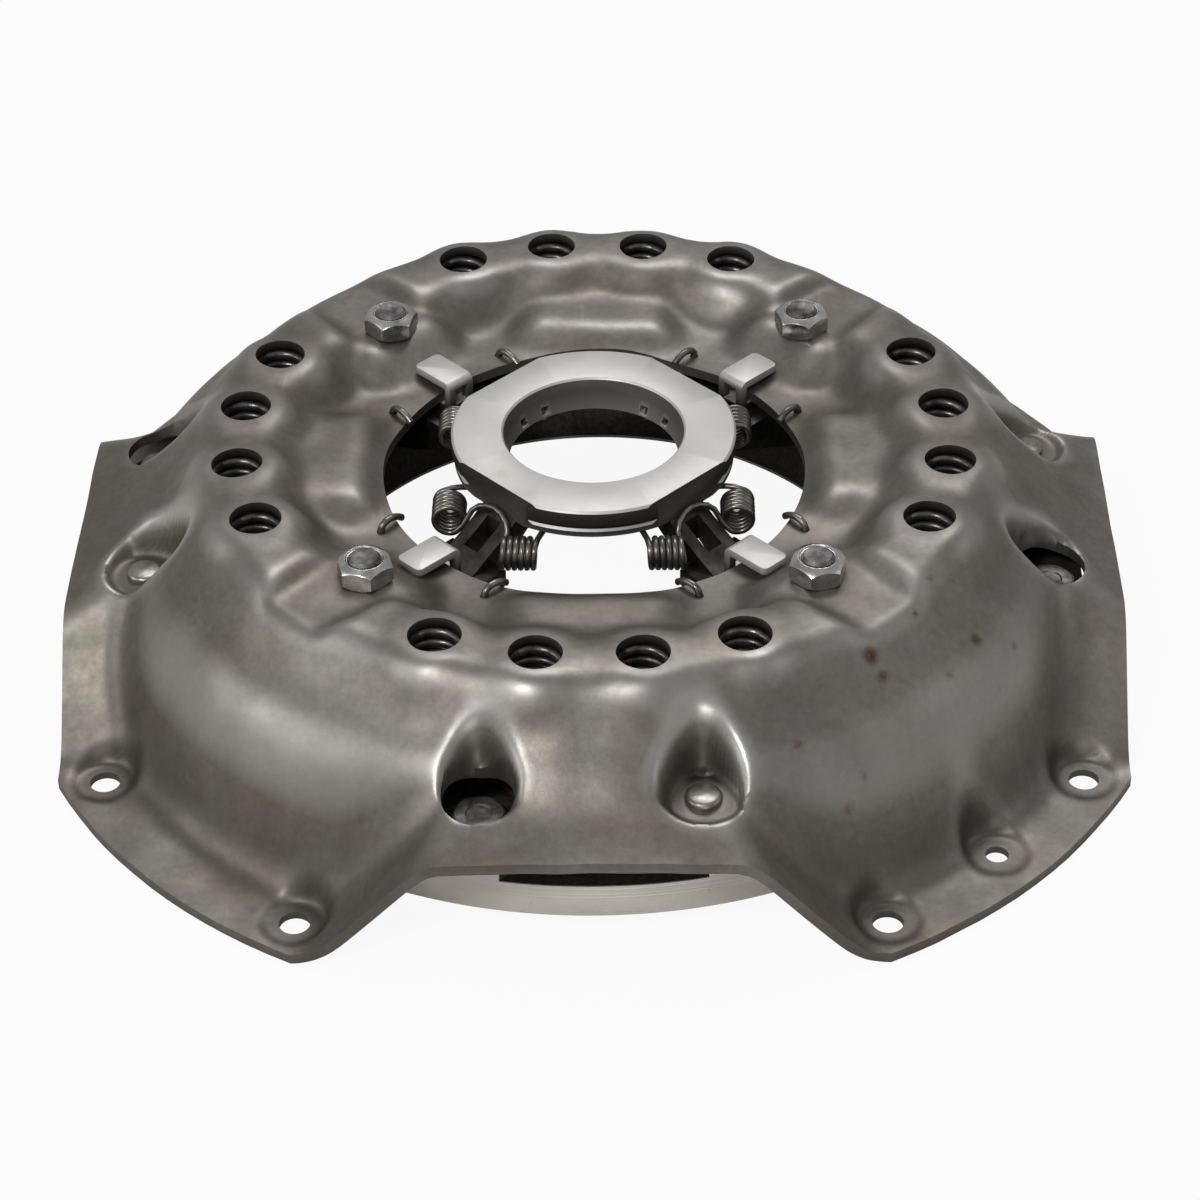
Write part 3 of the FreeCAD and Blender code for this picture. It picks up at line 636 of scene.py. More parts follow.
def with_lever_channels(heights):
    """A flat for each nut, and a trough through the ring of bulges on the same bearing."""
    for angle in DIAGONALS:
        out, across = seen_from(angle)
        ramp = np.interp(out, [80, 105, 135, 136], [CENTRE_TOP - 5, CHANNEL_TOP, CHANNEL_TOP, -99])
        pad = np.where(out > 0, ramp - np.maximum(np.abs(across) - 15, 0) * 0.55, -99)
        heights = np.maximum(heights, pad)
        half = np.interp(out, [80, 160], [19.0, 12.0])
        trough = CHANNEL_TOP + np.maximum(np.abs(across) - half, 0) * 1.5
        heights = np.where(out > 60, np.minimum(heights, trough), heights)
    return blurred(heights, 2.6)


# place, height of the floor, radius of the pad and radius of the floor
RECESSES = ((WINDOW, WINDOW_TOP, 12.6, 12.2), (RIVET, RIVET_TOP - 1.0, 10.6, 12.6))


def hollow_and_pad(side, place, top, pad_r, floor_r):
    """Heights of one pointed recess and of its pad, the distance that gives its point, and the plain one."""
    away = math.radians(side - 90)
    x, y = side_point(*place, side)
    out = (X - x) * math.cos(away) + (Y - y) * math.sin(away)
    across = -(X - x) * math.sin(away) + (Y - y) * math.cos(away)
    reach = np.hypot(across, out)
    inward = np.maximum(-out, 0)
    near = np.where(out < 0, np.hypot(across * (1 + 0.024 * inward), out * 0.86), reach)
    low = top + np.interp(-out, [-12, 12], [1.5, 0])
    walled = np.interp(near, [0, floor_r, floor_r + 0.5, floor_r + 1.8, 60], [0, 0, 4, 26, 400])
    open_side = np.maximum(reach - floor_r, 0) * 1.8
    share = np.clip((out + 3) / 8, 0, 1)
    hollow = low + walled * (1 - share) + open_side * share
    pad = top + np.interp(-out, [-12, 12], [1.0, 4.6]) - np.maximum(reach - pad_r, 0) * 2.5
    return hollow, pad, near, reach


def with_strap_recesses(heights):
    """Hollows pointed toward the crown, each with a round pad that stands a little higher inside."""
    steep = heights.copy()
    above = np.zeros_like(heights)
    for side in SIDES:
        for place, top, pad_r, floor_r in RECESSES:
            hollow, pad, near, reach = hollow_and_pad(side, place, top, pad_r, floor_r)
            struck = np.maximum(hollow, np.where(near < 15.5, pad, -99))
            steep = np.minimum(steep, np.where(near < 40, struck, 200))
            taller = np.clip((heights - top - 4) / 8, 0, 1)
            above = np.maximum(above, np.where(reach < 34, taller, 0))
    return blurred(steep, 0.9) * (1 - above) + blurred(steep, 1.6) * above


def uneven(heights, seed=5, rise=0.22):
    """The slight unevenness that drawing leaves in a sheet."""
    rough = blurred(np.random.default_rng(seed).normal(size=heights.shape), 6.0)
    return heights + rough * rise / rough.std()


outer = with_strap_recesses(uneven(with_lever_channels(with_spring_bulges(dome_and_lips()))))
spotfaces = [polar(BOLT_PCD_R, angle + s * BOLT_SPREAD) for angle in DIAGONALS for s in (-1, 1)]
spotfaces += [polar(DOWEL_R, angle) for angle in DOWEL_BEARINGS]
SPOT_R, SPOT_Z = [0, 10.8, 12.2, 14.5], [2.9, 2.9, 5.6, 20]
for x, y in spotfaces:
    near = np.hypot(X - x, Y - y)
    outer = np.where(near < SPOT_R[-1], np.minimum(outer, np.interp(near, SPOT_R, SPOT_Z)), outer)
soft = blurred(outer, 1.2)
for x, y in spotfaces:
    outer = np.where(np.hypot(X - x, Y - y) < 18, soft, outer)
print("outer face from %.1f to %.1f mm" % (outer.min(), outer.max()))

# %% Inner face
def inner_face(heights):
    """The outer face moved in by the sheet: at each place the lowest ball of that radius that touches it."""
    reach = int(SHEET / STEP)
    padded = np.pad(heights, reach, mode="edge")
    inner = heights - SHEET
    size = heights.shape[0]
    for i in range(-reach, reach + 1):
        for j in range(-reach, reach + 1):
            gap = SHEET ** 2 - (i * STEP) ** 2 - (j * STEP) ** 2
            if gap > 0:
                moved = padded[reach + i:reach + i + size, reach + j:reach + j + size]
                inner = np.minimum(inner, moved - math.sqrt(gap))
    return np.maximum(inner, 0.0)


inner = inner_face(outer)
print("inner face from %.1f to %.1f mm" % (inner.min(), inner.max()))

# %% [markdown]
# The two faces become one closed slab. The blanking die then cuts its outline, and the punches its holes,
# all in two boolean steps.

# %% The slab, its outline and its holes
def slab():
    size = len(grid_line)
    number = np.arange(size * size).reshape(size, size)
    top = np.stack([X, Y, outer], axis=-1).reshape(-1, 3)
    low = np.stack([X, Y, inner], axis=-1).reshape(-1, 3)
    a, b, c, d = number[:-1, :-1], number[1:, :-1], number[1:, 1:], number[:-1, 1:]
    faces = np.stack([a, b, c, d], axis=-1).reshape(-1, 4)
    under = np.stack([a, d, c, b], axis=-1).reshape(-1, 4) + size * size
    rim = np.concatenate([number[:, 0], number[-1, 1:], number[-2::-1, -1], number[0, -2:0:-1]])
    after = np.roll(rim, -1)
    walls = np.stack([after, rim, rim + size * size, after + size * size], axis=-1)
    return np.concatenate([top, low]), np.concatenate([faces, under, walls]).tolist()


def blank_outline():
    """Plan of the blank: a square whose corners are rounded by the flange's circle."""
    turn_in = math.degrees(math.acos(SIDE_HALF / CORNER_R))
    outline = []
    for corner in DIAGONALS:
        outline += [polar(CORNER_R, corner - 45 + turn_in + (90 - 2 * turn_in) * i / 14) for i in range(15)]
    return outline


def punched_holes():
    holes = [rod(OPENING_R, 40, 110, steps=180)]
    holes += [rod(SPRING_HOLE_R, 60, 110, x, y, 48) for x, y in spring_places]
    for angle in DIAGONALS:
        holes.append(rod(STUD_R + 0.5, 60, 110, *polar(PIVOT[0], angle)))
        stop_r, spread = STOP_HOLE
        stop_places = [polar(stop_r, angle + s * spread) for s in (-1, 1)]
        holes += [rod(WIRE / 2 + 0.5, 50, 110, *place, 20) for place in stop_places]
        bolt_places = [polar(BOLT_PCD_R, angle + s * BOLT_SPREAD) for s in (-1, 1)]
        holes += [rod(BOLT_HOLE_R, -10, 40, *place, 40) for place in bolt_places]
    holes += [rod(DOWEL_HOLE_R, -10, 40, *polar(DOWEL_R, angle), 40) for angle in DOWEL_BEARINGS]
    for side in SIDES:
        holes.append(rod(WINDOW_R, 20, 110, *side_point(*WINDOW, side)))
        holes.append(rod(RIVET_R + 0.3, 20, 110, *side_point(*RIVET, side), 32))
    return together(holes)


cover = piece("cover_sheet", slab())
carved(cover, drawn_out(blank_outline(), -20, 130), "INTERSECT")
carved(cover, punched_holes())
print("cover faces:", len(cover.data.polygons))

# %% [markdown]
# A number read from the map of heights says where the sheet is hollow and where it bulges: where a blurred
# copy lies above the sheet there is a hollow, which gets painted shade, and where it lies below there is a
# bulge, which gets a painted highlight. The few rust spots sit on the quarter of the dome between the front
# and the right side. Another number marks the walls of the spring holes, which get painted shade near black.

# %% Painted shade and highlight, and rust
def sampled(field, x, y):
    """Value of a map at any points, between its grid lines."""
    u, v = (x + REACH) / STEP, (y + REACH) / STEP
    last = len(grid_line) - 2
    i, j = np.clip(u.astype(int), 0, last), np.clip(v.astype(int), 0, last)
    s, t = u - i, v - j
    near = field[i, j] * (1 - t) + field[i, j + 1] * t
    far = field[i + 1, j] * (1 - t) + field[i + 1, j + 1] * t
    return near * (1 - s) + far * s


def number_on(thing, name, values):
    data = thing.data.attributes.new(name, "FLOAT", "POINT")
    data.data.foreach_set("value", np.asarray(values, np.float32))


# x, y and size of each spot
RUST_SPOTS = [(96, -118, 3.2), (100, -122, 2.4), (88, -158, 2.6), (93, -150, 2.0),
              (124, -112, 1.8), (134, -95, 2.4), (118, -84, 1.6), (70, -150, 1.8),
              (112, -98, 1.5), (142, -104, 1.5), (78, -132, 1.4), (149, -88, 2.0)]
x, y, z = corners_of(cover).T
hollow = blurred(outer, 4.0) - outer
number_on(cover, "painted_shading", np.clip(0.5 + sampled(hollow, x, y) * 0.20, 0, 1))
rust = np.zeros(len(x))
for spot_x, spot_y, size in RUST_SPOTS:
    level = z[np.hypot(x - spot_x, y - spot_y) < 2.5].max()
    reach = np.sqrt((x - spot_x) ** 2 + (y - spot_y) ** 2 + (z - level) ** 2)
    rust = np.maximum(rust, np.clip(1.6 - reach / (0.85 * size), 0, 1))
number_on(cover, "rust", rust)
# Painted shade for the walls of the spring holes, below the crown's top.
shaded_hole_walls = np.zeros(len(x))
for hole_x, hole_y in spring_places:
    shaded_hole_walls = np.maximum(shaded_hole_walls, np.abs(np.hypot(x - hole_x, y - hole_y) - SPRING_HOLE_R) < 0.4)
number_on(cover, "shaded_hole_walls", shaded_hole_walls * (z < CROWN_TOP - 1.2))
smooth_where_round(cover, 42)
dressed(cover, oiled_sheet, "cover_body", "cover")
print("crease from a map %.2f to %.2f mm deep" % (hollow.min(), hollow.max()))

# %% [markdown]
# ## The pressure plate
#
# A heavy iron ring, cast in sand and turned bright on its rim and on the face that grips the clutch disc.
# It is turned from its section, then the lugs for the levers, the spring seats and the strap bosses are
# joined on, as they are one casting.

# %% Pressure plate
def plate_casting():
    plate = piece("plate_casting", lathe([
        (PLATE_BORE_R, PLATE_FACE), (PLATE_R - 1, PLATE_FACE), (PLATE_R, PLATE_FACE + 1),
        (PLATE_R, PLATE_TOP - 0.6), (PLATE_R - 8, PLATE_TOP), (112.0, PLATE_TOP),
        (PLATE_BORE_R, PLATE_RIM_TOP - 3)], 240))
    for side in SIDES:
        carved(plate, placed(block(-35, 40, -200, -PLATE_R + 9, PLATE_RIM_TOP, 60), angle=side))
    boss_top = STRAP_LOW - LEAVES * LEAF_PITCH
    bosses = [rod(10.5, 18, boss_top, *side_point(*WINDOW, side)) for side in SIDES]
    bosses = piece("bosses", together(bosses))
    carved(bosses, rod(PLATE_R, 0, 60, steps=240), "INTERSECT")
    lugs = []
    r, z = PLATE_PIN
    cheek = [(r - 8, 26), (r + 12, 26), (r + 9.5, 32), (r + 8, z)]
    for t in range(15, 166, 15):
        cheek.append((r + 8 * math.cos(math.radians(t)), z + 8.5 * math.sin(math.radians(t))))
    cheek.append((r - 8, z))
    for angle in DIAGONALS:
        for offset in (-LUG_OFFSET, LUG_OFFSET):
            lugs.append(placed(upended(drawn_out(cheek, -3.5, 3.5)), y=offset, angle=angle))
    seats = [spindle([(0, 24), (6.4, 24), (6.4, 34), (5.2, 37), (0, 37)], 20) for _ in spring_places]
    seats = [placed(seat, *place) for seat, place in zip(seats, spring_places)]
    for shape in (taken_back(bosses), together(lugs), together(seats)):
        carved(plate, shape, "UNION")
    for angle in DIAGONALS:
        pin = upended(drawn_out(circle(PLATE_PIN_R + 0.35, 24, x=r, y=z), -30, 30))
        carved(plate, placed(pin, angle=angle))
    broken_edges(plate, 0.6, 2, 40)
    return smooth_where_round(plate, 30)


plate = dressed(plate_casting(), cast_iron, "plate_body", "pressure_plate")
print("plate faces:", len(plate.data.polygons))

# %% [markdown]
# ## Springs and their washers
#
# The springs are wound cold from round wire, with the last turn of each end closed and ground flat. The
# clutch is shown with its springs pressed almost solid, so the turns stand close together.

# %% Coil springs
SPRING_LOW, SPRING_HIGH = PLATE_TOP + WASHER + 0.3, CROWN_TOP - SHEET - 0.3


def spring_path(x, y, turns=10.5, per_turn=10, tip=234):
    """Centre line of one spring, with a closed turn at each end that runs into the ground face."""
    count = int(turns * per_turn)
    low, high = SPRING_LOW + 0.6, SPRING_HIGH - 0.6
    knots = [low, low + 4.5, high - 4.5, high]
    heights = np.interp(np.arange(count + 1) / per_turn, [0, 1, turns - 1, turns], knots)
    turned = [math.radians(tip + 360 * (i - count) / per_turn) for i in range(count + 1)]
    return [(x + SPRING_R * math.cos(t), y + SPRING_R * math.sin(t), z) for t, z in zip(turned, heights)]


def ground_flat(thing, low, high):
    """Take off what stands past the two ground ends."""
    for corner in thing.data.vertices:
        corner.co.z = min(max(corner.co.z, low * MM), high * MM)
    return thing


for number, side in enumerate(SIDES, 1):
    coils = []
    for spread in SPRING_ANGLES:
        place = polar(SPRING_PITCH_R, side + spread)
        coil = wire("coil", spring_path(*place), SPRING_WIRE / 2 - 0.15, sides=2, steps=3)
        coils.append(ground_flat(coil, SPRING_LOW, SPRING_HIGH))
    springs = one_piece("clutch_springs_%d" % number, coils)
    dressed(springs, spring_wire, "cover_body", "coil_springs_%d" % number)
    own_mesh(springs)

# %% Insulating washers
WASHER_BORE_R, WASHER_R = 6.8, SPRING_R + 3.4
washer = lathe([(WASHER_BORE_R, PLATE_TOP), (SPRING_R + 3.0, PLATE_TOP), (WASHER_R, PLATE_TOP + 0.5),
                (WASHER_R, PLATE_TOP + WASHER), (WASHER_BORE_R, PLATE_TOP + WASHER)], 32)
washers = piece("spring_insulators", together([placed(washer, *place) for place in spring_places]))
dressed(smooth_where_round(washers), fibre, "plate_body", "spring_washers")
print("springs between %.1f and %.1f mm" % (SPRING_LOW, SPRING_HIGH))

# %% [markdown]
# ## Levers, pins, eyebolts and nuts
#
# Each lever is a forging that straddles its eyebolt. The bolt's thread comes up through the cover, and its
# nut sets the height of the lever. On the real part the nut is locked by a punch mark on its collar.

# %% Levers and pins
def lever_forging(number, angle):
    """Forked beam round the eyebolt, with a slotted tongue that reaches up under the release ring."""
    nose_top = RING_BOTTOM - 0.35
    px, pz = PIVOT
    qx, qz = PLATE_PIN
    beam = [(qx + 3, qz + 7.5), (qx + 7.5, qz + 3), (qx + 7.5, qz - 3), (qx + 3, qz - 7.5),
            (px, pz - 10.5), (94, pz - 8), (74, 46.5), (58, 53), (58, LEVER_TOP), (98, LEVER_TOP),
            (px, LEVER_TOP - 1.5)]
    tongue = [(76, LEVER_TOP), (70, LEVER_TOP), (53, 69), (49.5, nose_top - 1.5), (47.5, nose_top),
              (44, nose_top), (41.5, nose_top - 2), (41.5, nose_top - 6), (48, 61.5), (60, 53), (76, 50)]
    lever = piece("lever_forging_%d" % number, upended(drawn_out(beam, -LEVER_HALF, LEVER_HALF)))
    carved(lever, upended(drawn_out(tongue, -TONGUE_HALF, TONGUE_HALF)), "UNION")
    carved(lever, block(50, 62, -3.5, 3.5, 30, 90))
    carved(lever, block(px - EYE_R - 2, 160, -FORK_HALF, FORK_HALF, 20, 80))
    for place, radius in ((PIVOT, PIVOT_PIN_R + 0.05), (PLATE_PIN, PLATE_PIN_R + 0.05)):
        carved(lever, upended(drawn_out(circle(radius, 32, *place), -30, 30)))
    broken_edges(lever, 0.8, 2, 40)
    lever.data.transform(Matrix.Rotation(math.radians(angle), 4, "Z"))
    smooth_where_round(lever, 32)
    return dressed(lever, forged, "lever_body_%d" % number, "lever_%d" % number)


def pin_along_y(radius, half, out, height):
    outline = [(0, -half), (radius - 0.6, -half), (radius, -half + 0.6), (radius, half - 0.6),
               (radius - 0.6, half), (0, half)]
    return upended(placed(spindle(outline, 32), out, height))


for number, angle in enumerate(DIAGONALS, 1):
    lever_forging(number, angle)
    pivot_pin = pin_along_y(PIVOT_PIN_R, LEVER_HALF + 0.3, *PIVOT)
    pins = together([pivot_pin, pin_along_y(PLATE_PIN_R, LUG_OFFSET + 4, *PLATE_PIN)])
    pins = smooth_where_round(piece("pivot_pins_%d" % number, placed(pins, angle=angle)))
    dressed(pins, rivet_steel, "lever_body_%d" % number, "lever_pins_%d" % number)
print("levers: 4")

# %% Eyebolts and nuts
def thread_outline(low, high, radius, pitch=1.5, depth=0.75):
    """Outline of a threaded stud: rings of the thread's pitch, and a chamfer at the tip."""
    crest = radius - 0.1
    outline = []
    z = low
    while z < high - 2 * pitch:
        outline += [(radius - depth, z), (crest, z + pitch * 0.4), (crest, z + pitch * 0.6)]
        z += pitch
    chamfer = [(crest, high - 1.0), (radius - 1.1, high)]
    return outline + [(radius - depth, z), (crest, z + pitch * 0.5)] + chamfer


def eyebolt_forging():
    out, height = PIVOT
    eye = piece("eyebolt", upended(drawn_out(circle(EYE_R, 48, *PIVOT), -EYE_HALF, EYE_HALF)))
    stud = [(0, height), (STUD_R, height), (STUD_R, CHANNEL_TOP - 8)]
    stud += thread_outline(CHANNEL_TOP - 7, STUD_TOP, STUD_R)
    stud += [(2.2, STUD_TOP), (1.4, STUD_TOP - 0.35), (0, STUD_TOP - 0.5)]
    carved(eye, placed(spindle(stud, 40), out), "UNION")
    carved(eye, upended(drawn_out(circle(PIVOT_PIN_R + 0.05, 32, *PIVOT), -20, 20)))
    return taken_back(eye)


eye_shape = eyebolt_forging()
eyebolts = piece("eyebolt_studs", together([placed(eye_shape, angle=angle) for angle in DIAGONALS]))
dressed(smooth_where_round(eyebolts, 34), bolt_black, "cover_body", "eyebolts")


def nut_blank():
    """Hexagon whose corners are cut by cones above and below, with a low collar on top."""
    low, high = CHANNEL_TOP, CHANNEL_TOP + NUT_HEIGHT
    corner = NUT_FLATS / math.sqrt(3)
    flat = NUT_FLATS / 2
    nut = piece("nut", drawn_out(circle(corner, 6), low, high))
    barrel = spindle([(0, low - 1), (flat - 1.0, low - 1), (corner + 0.05, low + 1.1),
                      (corner + 0.05, high - 2.4), (flat - 0.2, high - 0.9), (flat - 1.2, high - 0.55),
                      (flat - 1.9, high), (STUD_R + 0.9, high + 0.01), (STUD_R + 0.4, high - 0.5),
                      (0, high - 0.5)], 72)
    carved(nut, barrel, "INTERSECT")
    carved(nut, rod(STUD_R + 0.05, low - 5, high + 5, steps=40))
    broken_edges(nut, 0.25, 2, 30)
    return taken_back(nut)


nut_shape = nut_blank()
nuts = [placed(nut_shape, PIVOT[0], angle=angle) for angle in DIAGONALS]
zinc_nuts = smooth_where_round(piece("zinc_nuts", together(nuts)), 30)
dressed(zinc_nuts, zinc_plate, "cover_body", "adjusting_nuts")
print("nuts:", len(nuts))

# %% [markdown]
# ## Transport clips
#
# Bent strips that hold the levers down until the clutch is bolted on. Their ends are split in two prongs
# at the bend, and the top plate is rounded where it lies over the cover.

# %% Transport clips
def clip_strip():
    """A strip folded in a C, its top leaf rounded in plan and its back split in two prongs."""
    inner, outer_end, half, corner = 72.0, 92.0, 6.1, 2.4
    foot = CENTRE_TOP - SHEET - CLIP
    inside = inner + CLIP
    bend, under = [], []
    for t in (0, 22, 45, 68, 90):
        back, rise = inner + 3 - 3 * math.cos(math.radians(t)), 3 * math.sin(math.radians(t))
        bend.append((back, CLIP_TOP - 3 + rise))
        under.append((back, foot + 3 - rise))
    side = bend + [(outer_end, CLIP_TOP), (outer_end, CLIP_TOP - CLIP), (inside + 0.6, CLIP_TOP - CLIP),
                   (inside, CLIP_TOP - CLIP - 0.6), (inside, foot + CLIP + 0.6),
                   (inside + 0.6, foot + CLIP), (inner + 18, foot + CLIP), (inner + 18, foot)]
    clip = piece("clip", upended(drawn_out((side + under[::-1])[::-1], -6.0, 6.0)))
    straight = half - corner
    plan = [(60, -half)] + arc(corner, -90, 0, 5, outer_end - corner, -straight)
    plan += arc(corner, 0, 90, 5, outer_end - corner, straight) + [(60, half)]
    carved(clip, drawn_out(plan, 50, 90), "INTERSECT")
    carved(clip, block(60, inside + 1.5, -3.0, 3.0, foot + CLIP, CLIP_TOP - CLIP - 0.2))
    broken_edges(clip, 0.35, 2, 35)
    return taken_back(clip)


clip_shape = clip_strip()
clips = piece("bent_clips", together([placed(clip_shape, angle=angle) for angle in DIAGONALS]))
# Painted shade share for the clip's faces under its top leaf.
number_on(clips, "painted_shading", np.clip((CLIP_TOP - 2.4 - corners_of(clips)[:, 2]) / 2.0, 0, 1))
dressed(smooth_where_round(clips, 32), ground_steel, "cover_body", "transport_clips")
print("clips: 4")

# %% [markdown]
# ## The release ring and its springs
#
# The release bearing pushes on the ring's ground top. The ring has four flats over the levers, a groove
# round its edge and eight small slots in its bore, where the wire springs' ends catch.

# %% Release ring
def ring_turning():
    """Turned ring with a groove round its edge, a flat over each lever and slots for the wires' ends."""
    groove_r, skirt_r = RING_R - 1.6, RING_R - 0.8
    section = [(RING_BORE_R, RING_STEP), (RING_BORE_R, RING_TOP - 0.7), (RING_BORE_R + 0.7, RING_TOP),
               (RING_R - 0.8, RING_TOP), (RING_R, RING_TOP - 0.8), (RING_R, RING_STEP),
               (groove_r, RING_STEP - 0.8), (groove_r, RING_STEP - 2.2), (skirt_r, RING_STEP - 3.0),
               (skirt_r, RING_BOTTOM + 1.5), (RING_R - 2.3, RING_BOTTOM), (RING_BORE_R - 2.0, RING_BOTTOM)]
    ring = piece("ring_turning", lathe(section, 180))
    for angle in DIAGONALS:
        carved(ring, placed(block(RING_FLAT, RING_FLAT + 30, -40, 40, 60, 100), angle=angle))
        for hand in (-1, 1):
            slot = block(28, 37, -1.7, 1.7, RING_BOTTOM + 1.0, RING_BOTTOM + 4.0)
            carved(ring, placed(slot, angle=angle + hand * 10))
    broken_edges(ring, 0.35, 2, 35)
    return smooth_where_round(ring, 28)


ring = ring_turning()
# Painted shade share for the ring's sides: full on the outside above the skirt, less below it, and in the
# bore more on the upper band than the lower.
x, y, z = corners_of(ring).T
reach = np.hypot(x, y)
outside = np.where(z > RING_BOTTOM + 2, 1.0, 0.7)
in_bore = np.where(z > RING_STEP - 0.1, 0.75, 0.35)
number_on(ring, "painted_shading", np.where(reach > 40, outside, in_bore))
dressed(ring, ground_steel, "ring_body", "release_ring")
print("ring faces:", len(ring.data.polygons))

# %% [markdown]
# A double torsion spring sits over each lever. One wire makes both coils: its ends catch in the ring's
# bore, and the bridge between the coils lies under the ring's flat. The stop wires have a leg under the
# sheet and come up through small holes, and their free ends curl in over the edge of the opening.

# %% Torsion springs and stop wires
def torsion_spring_path(angle, turns=5.5, per_turn=10):
    """Centre line of one double spring."""
    reach, spread, height = COIL_AT
    halves = []
    for hand in (-1, 1):
        x, y = polar(reach, angle + hand * spread)
        along = np.array([1.0, 0, 0]) if abs(y) > abs(x) else np.array([0, 1.0, 0])
        centre = np.array([x, y, height])
        toward = np.array([*polar(reach, angle), height]) - centre
        along = along * np.sign(along @ toward)
        outward = np.array([x, y, 0]) - along * (along @ np.array([x, y, 0]))
        outward /= np.linalg.norm(outward)
        count = int(turns * per_turn)
        coil = []
        for i in range(count + 1):
            t = math.radians(360 / per_turn * i - 60)
            shift = (i / count - 0.5) * 2.25 * turns
            drop = np.array([0, 0, COIL_R * math.sin(t)])
            coil.append(centre + along * shift + outward * COIL_R * math.cos(t) - drop)
        bore_edge = (*polar(RING_BORE_R + 0.5, angle + hand * 10), RING_BOTTOM - 1.6)
        under_ring = (*polar(44.0, angle + hand * 22), RING_BOTTOM - 1.6)
        over = (*polar(51.5, angle + hand * 8.0), RING_BOTTOM + 0.2)
        caught = (*polar(RING_BORE_R - 0.4, angle + hand * 7.5), RING_BOTTOM + 2.6)
        halves.append([caught, bore_edge, under_ring] + coil + [over])
    return halves[0] + halves[1][::-1]


def stop_wire_path(angle, hand):
    """Wire with a leg under the sheet, up through the small hole, and a finger that curls inward."""
    hole = np.array([*polar(STOP_HOLE[0], angle + hand * STOP_HOLE[1]), 0])
    tip = np.array([*polar(STOP_TIP[0], angle + hand * STOP_TIP[1]), 0])
    under = CENTRE_TOP - SHEET - WIRE / 2 - 0.2
    outward = hole / np.linalg.norm(hole) * 9.0
    line = [hole + outward + (0, 0, under), hole + outward * 0.2 + (0, 0, under), hole + (0, 0, under + 1.5)]
    for share, rise in ((0.0, 0.8), (0.08, 2.6), (0.26, 3.4), (0.46, 2.6), (0.62, 0.8)):
        line.append(hole + (tip - hole) * share + (0, 0, CENTRE_TOP + rise))
    return line


for number, angle in enumerate(DIAGONALS, 1):
    spring = wire("torsion_spring_%d" % number, torsion_spring_path(angle), WIRE / 2, sides=3, steps=4)
    dressed(spring, ring_wire, "ring_body", "ring_spring_%d" % number)
    fingers = []
    for hand in (-1, 1):
        fingers.append(wire("finger", stop_wire_path(angle, hand), WIRE / 2 + 0.2, sides=3, steps=8))
    dressed(one_piece("stop_wires_%d" % number, fingers), ring_wire, "cover_body", "hook_wires_%d" % number)
print("torsion springs: 4, stop wire fingers: 8")

# %% [markdown]
# ## Drive straps
#
# Packs of spring steel leaves carry the engine's pull from the cover to the plate. One end is riveted to
# the cover, the other bolted to the plate through the window, and the pack bends as the plate moves.

# %% Straps
def strap_pack(number, side):
    """Three flat leaves with round ends, that run down from the cover's rivet to the plate's bolt."""
    end_round = 5.0
    middle, out = (WINDOW[0] + RIVET[0]) / 2, (WINDOW[1] + RIVET[1]) / 2
    along = np.linspace(WINDOW[0] - STRAP_END, RIVET[0] + STRAP_END, 25)
    rise = np.interp(along, [middle - 24, middle + 24], [0, 1])
    rise = rise * rise * (3 - 2 * rise)
    leaves = []
    for level in range(LEAVES):
        top = STRAP_LOW + (STRAP_HIGH - STRAP_LOW) * rise - level * LEAF_PITCH
        points, faces = [], []
        for x, z in zip(along, top):
            end = min(x - along[0], along[-1] - x)
            half = STRAP_HALF
            if end <= end_round:
                half += math.sqrt(max(end_round ** 2 - (end_round - end) ** 2, 0)) - end_round
            inside, outside = -out + half, -out - half
            points += [(x, outside, z), (x, inside, z), (x, inside, z - LEAF), (x, outside, z - LEAF)]
        for i in range(len(along) - 1):
            for k in range(4):
                n = (k + 1) % 4
                faces.append((4 * i + k, 4 * i + n, 4 * i + 4 + n, 4 * i + 4 + k))
        faces += [(3, 2, 1, 0), tuple(4 * (len(along) - 1) + k for k in range(4))]
        leaves.append((np.array(points), faces))
    pack = smooth_where_round(piece("strap_pack_%d" % number, placed(together(leaves), angle=side)), 30)
    dressed(pack, strap_steel, None, "drive_strap_%d" % number)
    end = [v * MM for v in (*side_point(WINDOW[0] + 12, WINDOW[1], side), 40)]
    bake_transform(pack)


for number, side in enumerate(SIDES, 1):
    strap_pack(number, side)
print("straps: 4")

# %% Strap rivets
under, head = STRAP_HIGH - LEAVES * LEAF_PITCH, RIVET_TOP + 0.6
rivet = spindle([(0, under - 2.6), (7.0, under - 2.6), (8.0, under - 1.6), (8.0, under), (RIVET_R, under),
                 (RIVET_R, head), (6.3, head), (6.4, head + 2.2), (5.9, head + 2.9), (5.0, head + 3.35),
                 (0, head + 3.4)], 32)
rivets = piece("strap_rivet_heads", together([placed(rivet, *side_point(*RIVET, side)) for side in SIDES]))
dressed(smooth_where_round(rivets, 40), rivet_steel, "cover_body", "strap_rivets")

# %% Strap bolts
def strap_bolt_blank():
    """Hexagon head with a dished top, on a round washer, and a plain shank."""
    seat, washer_r, head_r = STRAP_LOW, 14.0, 9.4
    top, washer_top = seat + 7, seat + 1.4
    bolt = piece("bolt", drawn_out(circle(head_r, 6, start=10), seat, top))
    barrel = [(0, seat - 1), (washer_r, seat - 1), (washer_r, washer_top), (10.7, seat + 1.5),
              (9.6, seat + 6), (8.2, top), (4.6, top), (4.2, seat + 6.4), (0, seat + 6.4)]
    shank = [(0, seat - 13.5), (RIVET_R, seat - 13.5), (RIVET_R, seat), (washer_r, seat),
             (washer_r, washer_top), (0, seat + 1.5)]
    carved(bolt, spindle(barrel, 48), "INTERSECT")
    carved(bolt, spindle(shank, 40), "UNION")
    broken_edges(bolt, 0.3, 2, 35)
    return taken_back(bolt)


